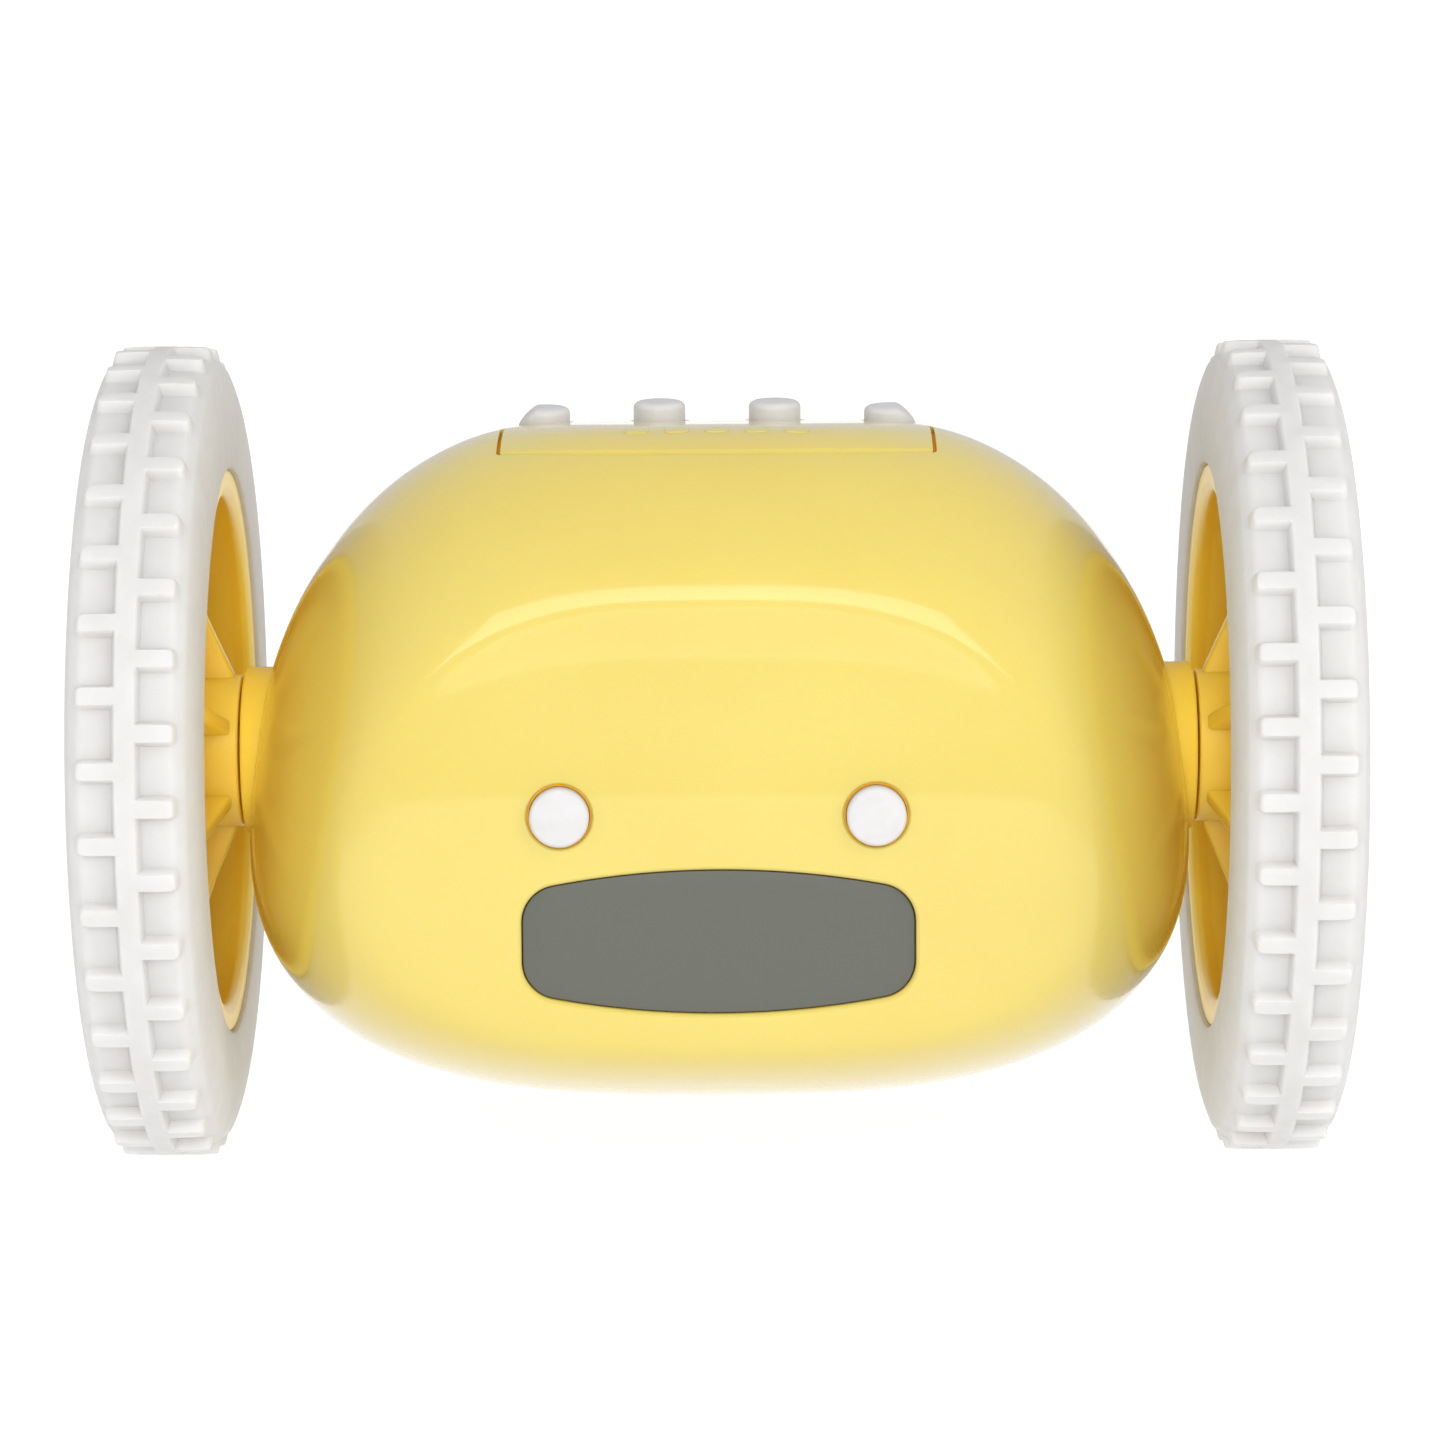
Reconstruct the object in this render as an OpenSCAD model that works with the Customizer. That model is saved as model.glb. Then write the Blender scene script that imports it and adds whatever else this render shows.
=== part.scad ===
// Two-wheeled runaway alarm clock: an egg-shaped body hung between two big wheels.
// Millimetres. The origin is on the wheel axis, midway between the wheels; the face looks along -Y.
// The body is drawn upright in its own frame and leans back by lean about the wheel axis.

/* [Body] */
// Width of the body across its widest place
body_w = 103; // [90:0.5:104]
// Rise of the round body's top above its widest level, before the top is flattened
body_up = 47.1; // [41:0.1:48]
// Drop of the body's underside below its widest level
body_down = 28.6; // [28:0.1:31]
// Height of the widest level above the wheel axis
body_mid = -9.5; // [-10.5:0.1:-8.5]
// Depth of the body from front to back, before the face is cut
body_depth = 75; // [74:0.5:80]
// Drop of the flat on the top below the round body's top
deck_drop = 1.5; // [1.2:0.1:1.8]
// Rise of the flat on the top towards the back, for each millimetre
deck_rise = 0.1; // [0.06:0.01:0.12]
// Wall of the two shells
wall = 2.2; // [1.8:0.1:2.6]
// Lean of the body backwards
lean = 12.5; // [8:0.5:16]
// Distance of the shells' seam behind the wheel axis
seam_y = 4.5; // [3.5:0.1:5]
// Length of the tongue that locates the rear shell
tongue = 1.6; // [1:0.1:2]
// Clearance round the tongue
tongue_gap = 0.15; // [0.05:0.05:0.3]
// Height of the side bosses that join the shells, above and below the wheel axis
boss_heights = [16, -23.5];
// Distance of the shells' bosses from the centre
boss_x = 35.5; // [35:0.5:37]
// Radius of the shells' bosses
boss_r = 3.4; // [3.2:0.1:3.6]

/* [Face] */
// Distance of the face plane in front of the wheel axis
face_set = 30; // [29:0.1:31.5]
// Lean of the face plane, bottom inwards
face_tilt = 8.3; // [6:0.1:11]
// Radius of the soft edge where the face meets the body
brow_round = 3; // [1:0.5:5]
// Extra depth of the face under its upper edge
cove_depth = 1.6; // [0.5:0.1:2]
// Width of the display window
window_w = 41.4; // [36:0.2:44]
// Height of the display window
window_h = 15.4; // [13:0.2:16]
// Height of the window's centre above the wheel axis
window_z = -20.4; // [-21:0.1:-20]
// Corner radius of the window
window_corner = 4; // [2:0.5:5]
// Rise of the window's upper and lower edges at the middle
window_arch = 1.5; // [0.8:0.1:2]
// Depth of the lens below the face
lens_recess = 0.8; // [0.4:0.1:1.2]
// Diameter of an eye button
eye_d = 6.3; // [5:0.1:7]
// Distance between the eye buttons
eye_pitch = 33.2; // [28:0.2:36]
// Height of the eye buttons above the wheel axis
eye_z = -7.1; // [-8:0.1:-6]
// Height of an eye button above the face
eye_proud = 0.8; // [0.6:0.1:1.6]

/* [Top] */
// Drop of the level that the top's parts are set from below the flat on the top
top_drop = 0.5; // [0.3:0.1:0.7]
// Width of the snooze bar
snooze_w = 46.4; // [40:0.2:47]
// Depth of the snooze bar from front to back
snooze_depth = 15.3; // [15:0.1:15.6]
// Distance of the snooze bar's front edge in front of the wheel axis
snooze_front = 12.9; // [12.6:0.1:13.2]
// Distance that the snooze bar's front edge bows backwards towards its ends
snooze_bow = 4.9; // [3:0.1:6]
// Gap round the snooze bar
snooze_gap = 0.4; // [0.35:0.05:0.6]
// Turn of the snooze bar when it is pressed, in degrees
snooze_press = 3; // [2:0.5:3]
// Diameter of a top button
key_d = 5.7; // [5:0.1:6.2]
// Distance between neighbouring top buttons
key_pitch = 12.67; // [12:0.01:13]
// Distance of the top buttons behind the wheel axis
key_y = 6.8; // [6.5:0.1:7.2]
// Height of a top button above the panel
key_proud = 2; // [1.2:0.1:2.2]
// How much lower the outer pair of top buttons stands
key_step = 0.7; // [0:0.1:1]
// Travel of every push button
travel = 1; // [0.6:0.1:1.2]
// Gap round every push button
key_gap = 0.25; // [0.15:0.05:0.3]

/* [Wheels] */
// Diameter of a wheel over its tread
wheel_d = 88.9; // [84:0.1:94]
// Distance between the middles of the two tyres
track = 120.4; // [119.4:0.1:124]
// Width of a tyre at its sidewalls
tyre_w = 13.86; // [13:0.02:14.5]
// Width of the tread where it meets the ground
tread_w = 9.2; // [8:0.1:10]
// Width of the tread's middle band
band_w = 2.5; // [1.5:0.1:3.5]
// Depth of the tread pockets
tread_depth = 1.6; // [1:0.1:2]
// Number of ribs in each row of the tread
rib_count = 36; // [30:1:40]
// Thickness of a tread rib
rib_t = 2.2; // [1.6:0.1:2.6]
// Outer radius of the rim, where the tyre sits
rim_r = 31; // [29:0.1:32]
// Width of the rim's rounded lip
lip_w = 3.2; // [2.6:0.1:3.6]
// Wall of the rim's barrel
barrel_t = 2.6; // [2:0.1:3]
// Distance of the rim's disc from its inner lip
disc_set = 7.4; // [6:0.1:8]
// Thickness of the rim's disc
disc_t = 2.4; // [2:0.1:3]
// Diameter of the wheel's hub
hub_d = 16.7; // [14:0.1:18]
// Number of webs behind the rim's disc
web_count = 6; // [4:1:8]
// Thickness of a web
web_t = 1.8; // [1.2:0.1:2.4]
// Running gap between the hub and the body's collar
hub_gap = 0.3; // [0.2:0.05:0.6]
// Diameter of the collar that carries the axle
collar_d = 18.4; // [17:0.1:19]

/* [Drive] */
// Diameter of the wheel axle
axle_d = 4; // [3.5:0.1:4.2]
// Running clearance of the axle and the gear pin in their bores
run_gap = 0.05; // [0.02:0.01:0.08]
// Module of the gears
gear_module = 0.5; // [0.48:0.01:0.51]
// Teeth of the two large gears
large_teeth = 40; // [38:1:40]
// Teeth of the two small gears
small_teeth = 12; // [12:1:13]
// Play between meshing teeth
backlash = 0.14; // [0.1:0.01:0.2]
// Distance of the motors' faces from the centre
motor_face = 26; // [25.6:0.1:26.4]
// Length of a motor's can
motor_len = 24.8; // [20:0.1:25]
// Diameter of a motor's can
motor_d = 20; // [18:0.1:20.5]
// Width of a motor's can across its flats
motor_flat = 15.4; // [14:0.1:15.8]
// Place of the motor shafts behind and above the wheel axis
motor_at = [-5, -20];
// Thickness of the gearbox plates
plate_t = 2; // [1.6:0.1:2.4]
// Space between the gearbox plates
plate_space = 9; // [8.8:0.1:9.4]

/* [Power and sound] */
// Diameter of an AAA cell
cell_d = 10.5; // [10:0.1:10.5]
// Length of an AAA cell
cell_len = 44.5; // [43:0.1:45]
// Distance between neighbouring cells
cell_pitch = 10.8; // [10.7:0.1:11]
// Place of the lower front cell behind and above the wheel axis
cell_at = [12, -21.3];
// Diameter of the loudspeaker
speaker_d = 26; // [22:0.5:27]
// Height of the loudspeaker above the wheel axis
speaker_z = 14; // [13:0.5:15]

/* [Hidden] */

$fn = 64;
// A cut runs this far past the face that it opens
past = 1;
// Play between pieces that are fixed to each other
fit = 0.1;

yellow = "#f7d35b";
white = "#f2f1ee";
steel = "#b9bcc0";
brass = "#c9a44a";
board_green = "#2f6b45";

// Roundness of the body: the powers of its width, of its height above and below, and of its depth
round_w = 2.95;
round_high = 2.09;
round_low = 2.4;
round_d = 2.2;
// Softness of the edge where the flat on the top meets the round body
deck_round = 1.2;
// The cove under the brow: how far in it is half its depth, and the heights between which it fades in
cove_w = 2.4;
cove_from = -6;
cove_to = 12;
around = 60;
front_steps = 15;
rear_steps = 13;
core_steps = 10;
body_reach = body_depth / 2;
deck_z = body_mid + body_up - deck_drop;
top_z = deck_z - top_drop;

wheel_r = wheel_d / 2;
wheel_x = track / 2;
hub_r = hub_d / 2;
axle_r = axle_d / 2;
flat_cut = 0.5;
axle_flat = axle_r - flat_cut;
collar_r = collar_d / 2;

// Screws: one size joins the shells, a smaller one holds everything else
screw_r = 1.25;
head_r = 2.2;
head_t = 1.6;
head_y = 12;
screw_reach = 8;
small_screw_r = 0.9;
small_head_r = 1.8;
small_head_t = 1.1;
small_screw_len = 6;
wheel_screw_len = 8;
thread_gap = 0.03;
pilot_r = screw_r + thread_gap;
small_pilot_r = small_screw_r + thread_gap;

// Depths behind the face plane, from the lens to the main board
flange_set = 1;
flange_n = wall + flange_set;
flange_t = 0.7;
flange_lap = 0.9;
lens_flange_t = 0.8;
lens_lap = 1;
glass_n = flange_n + lens_flange_t + fit;
glass_t = 1.8;
glass_lap_w = 0.8;
glass_lap_h = 0.6;
glass_w = window_w + 2 * glass_lap_w;
glass_h = window_h + 2 * glass_lap_h;
holder_t = 0.8;
board_t = 1.6;
board_set = 6;
board_n = flange_n + board_set;
board_w = 54;
board_up = 18;
board_down = 11;
board_hole_x = 25.2;
board_hole_up = 15.5;
board_hole_down = 8.5;
board_boss_r = 1.9;
board_pilot = 5;
low_boss_n = 3;
high_boss_n = 1.2;
chip_w = 7;
chip_t = 1.4;
chip_up = -2;
crystal_w = 4;
crystal_h = 2.4;

// Push buttons and the switches under them
switch_w = 6;
switch_h = 3.5;
plunger_r = 1.6;
eye_up = (eye_z - window_z) / cos(face_tilt);
eye_cut = 8;
eye_stem_n = flange_n + travel;
key_flange_drop = 5.4;
key_flange_z = top_z - key_flange_drop;
key_stem = 0.4;
key_stem_z = key_flange_z - key_stem;
switch_pin = 0.9;
board_top = key_stem_z - travel - fit - switch_h - switch_pin;
top_board_w = 60;
top_board_front = -9;
top_board_back = 11.5;
top_boss_edge = 3;
top_boss_x = top_board_w / 2 - top_boss_edge;
top_boss_y = 1;
small_boss_r = 2.2;
top_boss_drop = 3.6;
ribbon_w = 16;
ribbon_t = 0.4;
ribbon_lap = 2;

// Hinge of the snooze bar
hinge_set = 1.2;
hinge_drop = 4.8;
hinge_y = snooze_depth - snooze_front - hinge_set;
hinge_z = top_z - hinge_drop;
pin_r = 0.9;
lug_r = 1.6;
lug_t = 2;
lug_gap = 0.3;
ear_r = 2;
ear_t = 2;
ear_x = 11.7;
ear_back = 6.5;
ear_drop = 1.2;
root_drop = 0.8;
root_set = 0.5;
snooze_stem_y = -5;
snooze_drop = (hinge_y - snooze_stem_y) * sin(snooze_press);

// Battery bay and its door
spring_room = 5.3;
bay_w = cell_len + spring_room;
bay_t = 1;
cell_gap_y = 0.25;
cell_gap_z = 0.35;
bay_front = cell_at[0] - cell_d / 2 - cell_gap_y;
bay_low = cell_at[1] - cell_d / 2 - cell_gap_z;
bay_high = cell_at[1] + cell_pitch + cell_d / 2 + cell_gap_z;
bay_boss_y = 26;
door_w = 49;
door_top = -0.4;
door_bottom = -27.6;
door_corner = 3;
door_screw_z = -2.6;
door_head_set = 1.6;
door_head_y = body_reach - door_head_set;
door_boss_r = 2.6;
nub_len = 0.9;
nub_r = 2;
spring_wire = 0.25;
spring_r = 3.6;
spring_turns = 4;
spring_pitch = 0.6;
spring_taper = 0.35;
plate_metal = 0.3;
plate_lap = 3.5;

// Loudspeaker and the holes in front of it
speaker_back = 19.5;
rim_t = 1.5;
seat_t = 1.6;
post_ring = speaker_d / 2 - seat_t;
basket_in = 2;
basket_depth = 3;
metal_t = 0.4;
magnet_t = 4;
cone_depth = 2.4;
cone_r = speaker_d / 2 - basket_in - 2 * metal_t;
cap_r = 3;
hole_pitch = 4;
sound_hole_r = 0.9;

// Places along the wheel axis, from the motors outwards
shaft_r = 1;
shaft_in = 20;
nose_r = 3.1;
gear_pin_r = 1;
pinion_gap = 0.6;
pinion_x = motor_face + plate_t + pinion_gap;
pinion_w = 3.2;
gear_gap = 0.8;
idler_x = motor_face + plate_t + gear_gap;
large_w = 2.6;
small_w = 5;
drive_x = idler_x + large_w + gear_gap;
drive_w = 3.6;
outer_x = motor_face + plate_t + plate_space;
collar_in = outer_x + plate_t;
collar_flange_t = 2;
collar_lap = 1.8;
hub_set = 7.9;
hub_x = wheel_x - hub_set;
flank_steps = 5;
lobe_r = 5;
post_r = 2.2;
post_lobe_r = 3.2;
cradle_w = 48;
cradle_t = 2;
cradle_gap = 0.3;
lead_x = 8;
lead_rise = 4;
lead_r = 0.6;

// Rim and tyre
lip_set = 1.6;
seat_x = hub_x + lip_set + disc_set + disc_t;
rim_fit = 0.03;
ridge_w = 3;
ridge_h = 1.2;
cap_r_out = 7;
cap_wall = 1;
cap_set = 0.8;
cap_rise = 0.5;
web_step = 3.6;
web_reach = 6.3;
dimple_at = 18;
dimple_r = 4.6;
dimple_t = 0.9;
bulge_rise = 5.4;
bulge_in = 0.15;
side_power = 2.3;
tyre_steps = 14;
rib_reach = 5.1;

// ---- frames and drawing helpers ----

module body_frame() rotate([-lean, 0, 0]) children();

// x to the right, y inwards through the face, z up along the face, from the window's centre
module face_frame() body_frame()
    translate([0, face_plane(window_z), window_z]) rotate([face_tilt, 0, 0]) children();

module side(s) mirror([s < 0 ? 1 : 0, 0, 0]) children();

// Extrudes an outline drawn in (y, z) along x
module along_x(x, length) translate([x, 0, 0]) rotate([90, 0, 90]) linear_extrude(length) children();

// Extrudes an outline drawn in (x, z) along y
module along_y(y, length) translate([0, y + length, 0]) rotate([90, 0, 0])
    linear_extrude(length) children();

module at_yz(p) translate([0, p[0], p[1]]) children();

module rod_x(r, from, to) translate([from, 0, 0]) rotate([0, 90, 0]) cylinder(r = r, h = to - from);

module rod_y(r, from, to) translate([0, from, 0]) rotate([-90, 0, 0]) cylinder(r = r, h = to - from);

module rod_z(r, from, to) translate([0, 0, from]) cylinder(r = r, h = to - from);

module block(low, high) translate(low) cube(high - low);

// Turns an outline of [radius, x] points about the x axis
module turned(points) rotate([0, 90, 0]) rotate_extrude() polygon(points);

// Rounded rectangle about the origin
module rounded(w, h, r) {
    square([w - 2 * r, h], center = true);
    square([w, h - 2 * r], center = true);
    for (x = [-1, 1], z = [-1, 1]) translate([x * (w / 2 - r), z * (h / 2 - r)]) circle(r);
}

// ---- the body's form ----

function reach_z(z, inset) = (z < 0 ? body_down : body_up) - inset;

function round_h(z) = z < 0 ? round_low : round_high;

// How far out (x, z) is on the body's outline that is inset: 0 at the middle, 1 on the outline
function outwards(x, z, inset) =
    pow(abs(x) / (body_w / 2 - inset), round_w)
    + pow(abs(z - body_mid) / reach_z(z - body_mid, inset), round_h(z - body_mid));

// Half-depth of the inset body at (x, z)
function half_depth(x, z, inset) =
    (body_reach - inset) * pow(max(0, 1 - outwards(x, z, inset)), 1 / round_d);

// The flat that is cut into the front for the face
function face_plane(z) = -face_set - z * tan(face_tilt);

function soft_max(a, b, r) = (a + b + sqrt(pow(a - b, 2) + r * r)) / 2;

// Height z of the round body after the flat on the top has taken its share
function decked(y, z, inset) = -soft_max(-z, inset - deck_z - deck_rise * y, deck_round);

// How far the face dips behind its edge, at a depth below the body's round surface
function cove(below, z) =
    let (share = min(1, max(0, (z - cove_from) / (cove_to - cove_from))), u = max(0, below))
    cove_depth * pow(share, 2) * (3 - 2 * share) * u * u / (u * u + cove_w * cove_w);

function front_y(y, z, inset) = y > 0 ? y
    : soft_max(y, face_plane(z) + inset, brow_round) + cove(face_plane(z) + inset - y, z);

// Point of the inset body at depth y, in the direction t about the y axis
function body_point(y, inset, t) =
    let (share = max(0, 1 - pow(min(1, abs(y) / (body_reach - inset)), round_d)),
        x = sign(cos(t)) * (body_w / 2 - inset) * pow(share, 1 / round_w) * pow(abs(cos(t)), 2 / round_w),
        rise = reach_z(sin(t), inset) * pow(share * pow(sin(t), 2), 1 / round_h(sin(t))),
        z = decked(y, body_mid + sign(sin(t)) * rise, inset))
    [x, front_y(y, z, inset), z];

// Depths of the rings from the pole of the inset body to a plane, closer together at the plane
function depths(inset, plane, steps) =
    let (reach = body_reach - inset, last = acos(plane / reach))
    [for (i = [1:steps]) reach * cos(last * i / steps)];

// Closed skin through rings of [depth, inset] that run from the pole at first to the pole at last
module skin(rings, first, last) {
    n = len(rings);
    points = concat(
        [[0, front_y(first[0], body_mid, first[1]), body_mid]],
        [for (ring = rings, i = [0:around - 1]) body_point(ring[0], ring[1], i * 360 / around)],
        [[0, front_y(last[0], body_mid, last[1]), body_mid]]);
    function at(k, i) = 1 + k * around + i % around;
    faces = concat(
        [for (i = [0:around - 1]) [0, at(0, i), at(0, i + 1)]],
        [for (k = [0:n - 2], i = [0:around - 1]) [at(k, i), at(k + 1, i), at(k + 1, i + 1)]],
        [for (k = [0:n - 2], i = [0:around - 1]) [at(k, i), at(k + 1, i + 1), at(k, i + 1)]],
        [for (i = [0:around - 1]) [n * around + 1, at(n - 1, i + 1), at(n - 1, i)]]);
    polyhedron(points, first[0] > 0 ? faces : [for (f = faces) [f[0], f[2], f[1]]]);
}

// Outer wall from the front pole to the seam, the tongue, and the inner wall back to its pole
module front_skin() {
    inside = depths(wall, -seam_y, front_steps);
    skin(concat(
        [for (y = depths(0, -seam_y, front_steps)) [-y, 0]],
        [[seam_y, (wall + tongue_gap) / 2], [seam_y + tongue, (wall + tongue_gap) / 2]],
        [[seam_y + tongue, wall]],
        [for (i = [1:front_steps]) [-inside[front_steps - i], wall]]),
        [-body_reach, 0], [wall - body_reach, wall]);
}

module rear_skin() {
    rebate_y = seam_y + tongue + tongue_gap;
    inside = depths(wall, rebate_y, rear_steps);
    skin(concat(
        [for (y = depths(0, seam_y, rear_steps)) [y, 0]],
        [[seam_y, (wall - tongue_gap) / 2], [rebate_y, (wall - tongue_gap) / 2]],
        [for (i = [0:rear_steps - 1]) [inside[rear_steps - 1 - i], wall]]),
        [body_reach, 0], [body_reach - wall, wall]);
}

// Solid of the body, inset all round
module body_core(inset) {
    half = depths(inset, 0, core_steps);
    skin(concat([for (y = half) [-y, inset]],
        [for (i = [1:core_steps - 1]) [half[core_steps - 1 - i], inset]]),
        [inset - body_reach, inset], [body_reach - inset, inset]);
}

// ---- shells ----

window_arc_r = (pow(window_w / 2 - window_corner, 2) + pow(window_arch, 2)) / (2 * window_arch);

// Outline of the window: a barrel with round corners
module window_outline(grow) offset(r = window_corner + grow) intersection() {
    square([window_w - 2 * window_corner, window_h], center = true);
    translate([0, window_h / 2 - window_arc_r]) circle(window_arc_r - window_corner, $fn = 360);
    translate([0, window_arc_r - window_h / 2]) circle(window_arc_r - window_corner, $fn = 360);
}

module at_eye(s) face_frame() translate([s * eye_pitch / 2, 0, eye_up]) children();

module at_key(i) translate([(i - 1.5) * key_pitch, key_y, 0]) children();

module at_bosses() body_frame()
    for (x = [-1, 1], z = boss_heights) translate([x * boss_x, 0, z]) children();

// Depth of the middle of the wall at (x, z), in front for a face of -1 and behind for 1
function wall_y(x, z, face) =
    face < 0 ? front_y(-half_depth(x, z, wall / 2), z, wall / 2) : half_depth(x, z, wall / 2);

// Post along y from a depth to the middle of the wall, whose end follows the wall's slope
module wall_post(x, z, r, from, face) {
    step = 0.5;
    slope_x = (wall_y(x + step, z, face) - wall_y(x - step, z, face)) / (2 * step);
    slope_z = (wall_y(x, z + step, face) - wall_y(x, z - step, face)) / (2 * step);
    out = face * [-slope_x, 1, -slope_z] / norm([slope_x, 1, slope_z]);
    far = face * body_reach;
    difference() {
        translate([x, 0, z]) rod_y(r, min(from, far), max(from, far));
        translate([x, wall_y(x, z, face), z]) rotate([0, acos(out[2]), atan2(out[1], out[0])])
            translate([-body_reach, -body_reach, 0]) cube(2 * body_reach);
    }
}

bow_r = (pow(snooze_w / 2, 2) + pow(snooze_bow, 2)) / (2 * snooze_bow);

// Outline of the snooze bar from above
module snooze_outline(grow) intersection() {
    translate([-snooze_w / 2 - grow, -snooze_front - grow])
        square([snooze_w + 2 * grow, snooze_depth + 2 * grow]);
    translate([0, bow_r - snooze_front]) circle(bow_r + grow, $fn = 360);
}

module door_outline(grow) translate([0, (door_top + door_bottom) / 2])
    rounded(door_w + 2 * grow, door_top - door_bottom + 2 * grow, door_corner + grow);

// Ears that carry the snooze bar's hinge pins
module hinge_ears() for (s = [-1, 1]) side(s) difference() {
    union() {
        block([ear_x, hinge_y - ear_r, hinge_z - ear_r], [ear_x + ear_t, ear_back, hinge_z + ear_r]);
        block([ear_x, snooze_depth - snooze_front + snooze_gap, hinge_z],
            [ear_x + ear_t, ear_back, top_z - ear_drop]);
    }
    translate([0, hinge_y, hinge_z]) rod_x(pin_r + run_gap, ear_x - past, ear_x + ear_t + past);
}

module at_top_bosses() for (s = [-1, 1]) translate([s * top_boss_x, top_boss_y, 0]) children();

module at_board_holes() face_frame() for (s = [-1, 1], z = [-board_hole_down, board_hole_up]) {
    $low = z < 0;
    translate([s * board_hole_x, 0, z]) children();
}

module front_bosses() {
    body_frame() for (x = [-boss_x, boss_x], z = boss_heights) wall_post(x, z, boss_r, seam_y, -1);
    hinge_ears();
    at_top_bosses() rod_z(small_boss_r, board_top, top_z - top_boss_drop);
    at_board_holes() rod_y(board_boss_r, $low ? low_boss_n : high_boss_n, board_n);
}

module front_shell() color(yellow) difference() {
    union() {
        difference() {
            body_frame() front_skin();
            translate([0, 0, board_top]) linear_extrude(wheel_r) snooze_outline(snooze_gap);
        }
        front_bosses();
    }
    face_frame() along_y(-body_reach, body_reach + glass_n) window_outline(0);
    for (s = [-1, 1]) at_eye(s) rod_y(eye_d / 2 + key_gap, -eye_cut, flange_n);
    for (i = [0:3]) at_key(i) rod_z(key_d / 2 + key_gap, key_flange_z, wheel_r);
    rod_x(collar_r + fit, -wheel_x, wheel_x);
    at_bosses() rod_y(pilot_r, -screw_reach, seam_y + past);
    at_top_bosses() rod_z(small_pilot_r, board_top - past, board_top + small_screw_len);
    at_board_holes() rod_y(small_pilot_r, board_n - board_pilot, board_n + past);
}

// Posts that hold the loudspeaker against the rear wall
module speaker_posts() body_frame() for (a = [45:90:315])
    wall_post(post_ring * cos(a), speaker_z + post_ring * sin(a), seat_t, speaker_back + rim_t, 1);

// Sound holes: one in the middle and rings of six more each
module sound_holes() body_frame() translate([0, 0, speaker_z])
    for (ring = [0:2], i = [0:max(0, 6 * ring - 1)])
        rotate([0, i * 60 / max(1, ring), 0]) translate([ring * hole_pitch, 0, 0])
            rod_y(sound_hole_r, speaker_back + rim_t, body_reach);

module rear_shell() color(yellow) difference() {
    union() {
        body_frame() rear_skin();
        body_frame() for (x = [-boss_x, boss_x], z = boss_heights) wall_post(x, z, boss_r, seam_y, 1);
        speaker_posts();
    }
    sound_holes();
    body_frame() along_y(seam_y, body_reach) door_outline(fit);
    rod_x(collar_r + fit, -wheel_x, wheel_x);
    at_bosses() {
        rod_y(screw_r + fit, seam_y - past, body_reach);
        rod_y(head_r + fit, head_y, body_reach);
    }
}

module battery_door() color(yellow) body_frame() difference() {
    intersection() {
        rear_skin();
        along_y(seam_y + tongue + past, body_reach) door_outline(-fit);
    }
    translate([0, 0, door_screw_z]) {
        rod_y(small_screw_r + fit, 0, body_reach);
        rod_y(small_head_r + fit, door_head_y, body_reach);
    }
}

// Round-head screw along +y, head first seen from behind
module screw_y(shank, head, from, seat, head_t) {
    rod_y(shank, from, seat);
    rod_y(head, seat, seat + head_t);
}

module door_screw() color(steel) body_frame() translate([0, 0, door_screw_z])
    screw_y(small_screw_r, small_head_r, door_head_y - small_screw_len, door_head_y, small_head_t);

module shell_screws() color(steel) at_bosses() screw_y(screw_r, head_r, -screw_reach + past, head_y, head_t);

// ---- display, boards and switches ----

module display_lens() color([0.45, 0.45, 0.4, 0.9]) face_frame() {
    along_y(lens_recess, flange_n - lens_recess) window_outline(-fit);
    along_y(flange_n, lens_flange_t) window_outline(lens_lap);
}

module lcd_glass() color("#6f7165") face_frame() translate([0, glass_n, 0])
    block([-glass_w / 2, 0, -glass_h / 2], [glass_w / 2, glass_t, glass_h / 2]);

module backlight() color(white) face_frame() translate([0, glass_n + glass_t, 0])
    block([-glass_w / 2, 0, -glass_h / 2], [glass_w / 2, board_n - glass_n - glass_t, glass_h / 2]);

module lcd_holder() color("#3a3a3a") face_frame() difference() {
    block([-glass_w / 2 - holder_t, glass_n, -glass_h / 2 - holder_t],
        [glass_w / 2 + holder_t, board_n, glass_h / 2 + holder_t]);
    block([-glass_w / 2 - fit, glass_n - past, -glass_h / 2 - fit],
        [glass_w / 2 + fit, board_n + past, glass_h / 2 + fit]);
}

module main_board() color(board_green) difference() {
    face_frame() block([-board_w / 2, board_n, -board_down], [board_w / 2, board_n + board_t, board_up]);
    at_board_holes() rod_y(small_screw_r + fit, board_n - past, board_n + board_t + past);
}

module board_chips() color("#202225") face_frame() translate([0, board_n + board_t, 0]) {
    block([-chip_w / 2, 0, chip_up], [chip_w / 2, chip_t, chip_up + chip_w]);
    block([chip_w, 0, chip_up], [chip_w + crystal_w, chip_t, chip_up + crystal_h]);
}

// Tact switch along +y: square body with a round plunger in front of it
module switch_y(front, seat) {
    block([-switch_w / 2, seat - switch_h, -switch_w / 2], [switch_w / 2, seat, switch_w / 2]);
    rod_y(plunger_r, front, seat - switch_h);
}

module eye_switches() color("#2b2b2b")
    for (s = [-1, 1]) at_eye(s) switch_y(eye_stem_n + travel + fit, board_n);

module board_screws() color(steel) {
    at_board_holes()
        screw_y(small_screw_r, small_head_r, board_n - board_pilot + past, board_n + board_t, small_head_t);
    at_top_bosses() {
        rod_z(small_screw_r, board_top - board_t, board_top + small_screw_len - past);
        rod_z(small_head_r, board_top - board_t - small_head_t, board_top - board_t);
    }
}

// Depth of the main board's back at a height of the body's frame
function board_back_y(z) =
    face_plane(window_z) + (board_n + board_t) / cos(face_tilt) - (z - window_z) * tan(face_tilt);

// Point of the body's frame, given as [y, z], seen from the ground's frame
function upright(p) = [p[0] * cos(lean) + p[1] * sin(lean), p[1] * cos(lean) - p[0] * sin(lean)];

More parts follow.
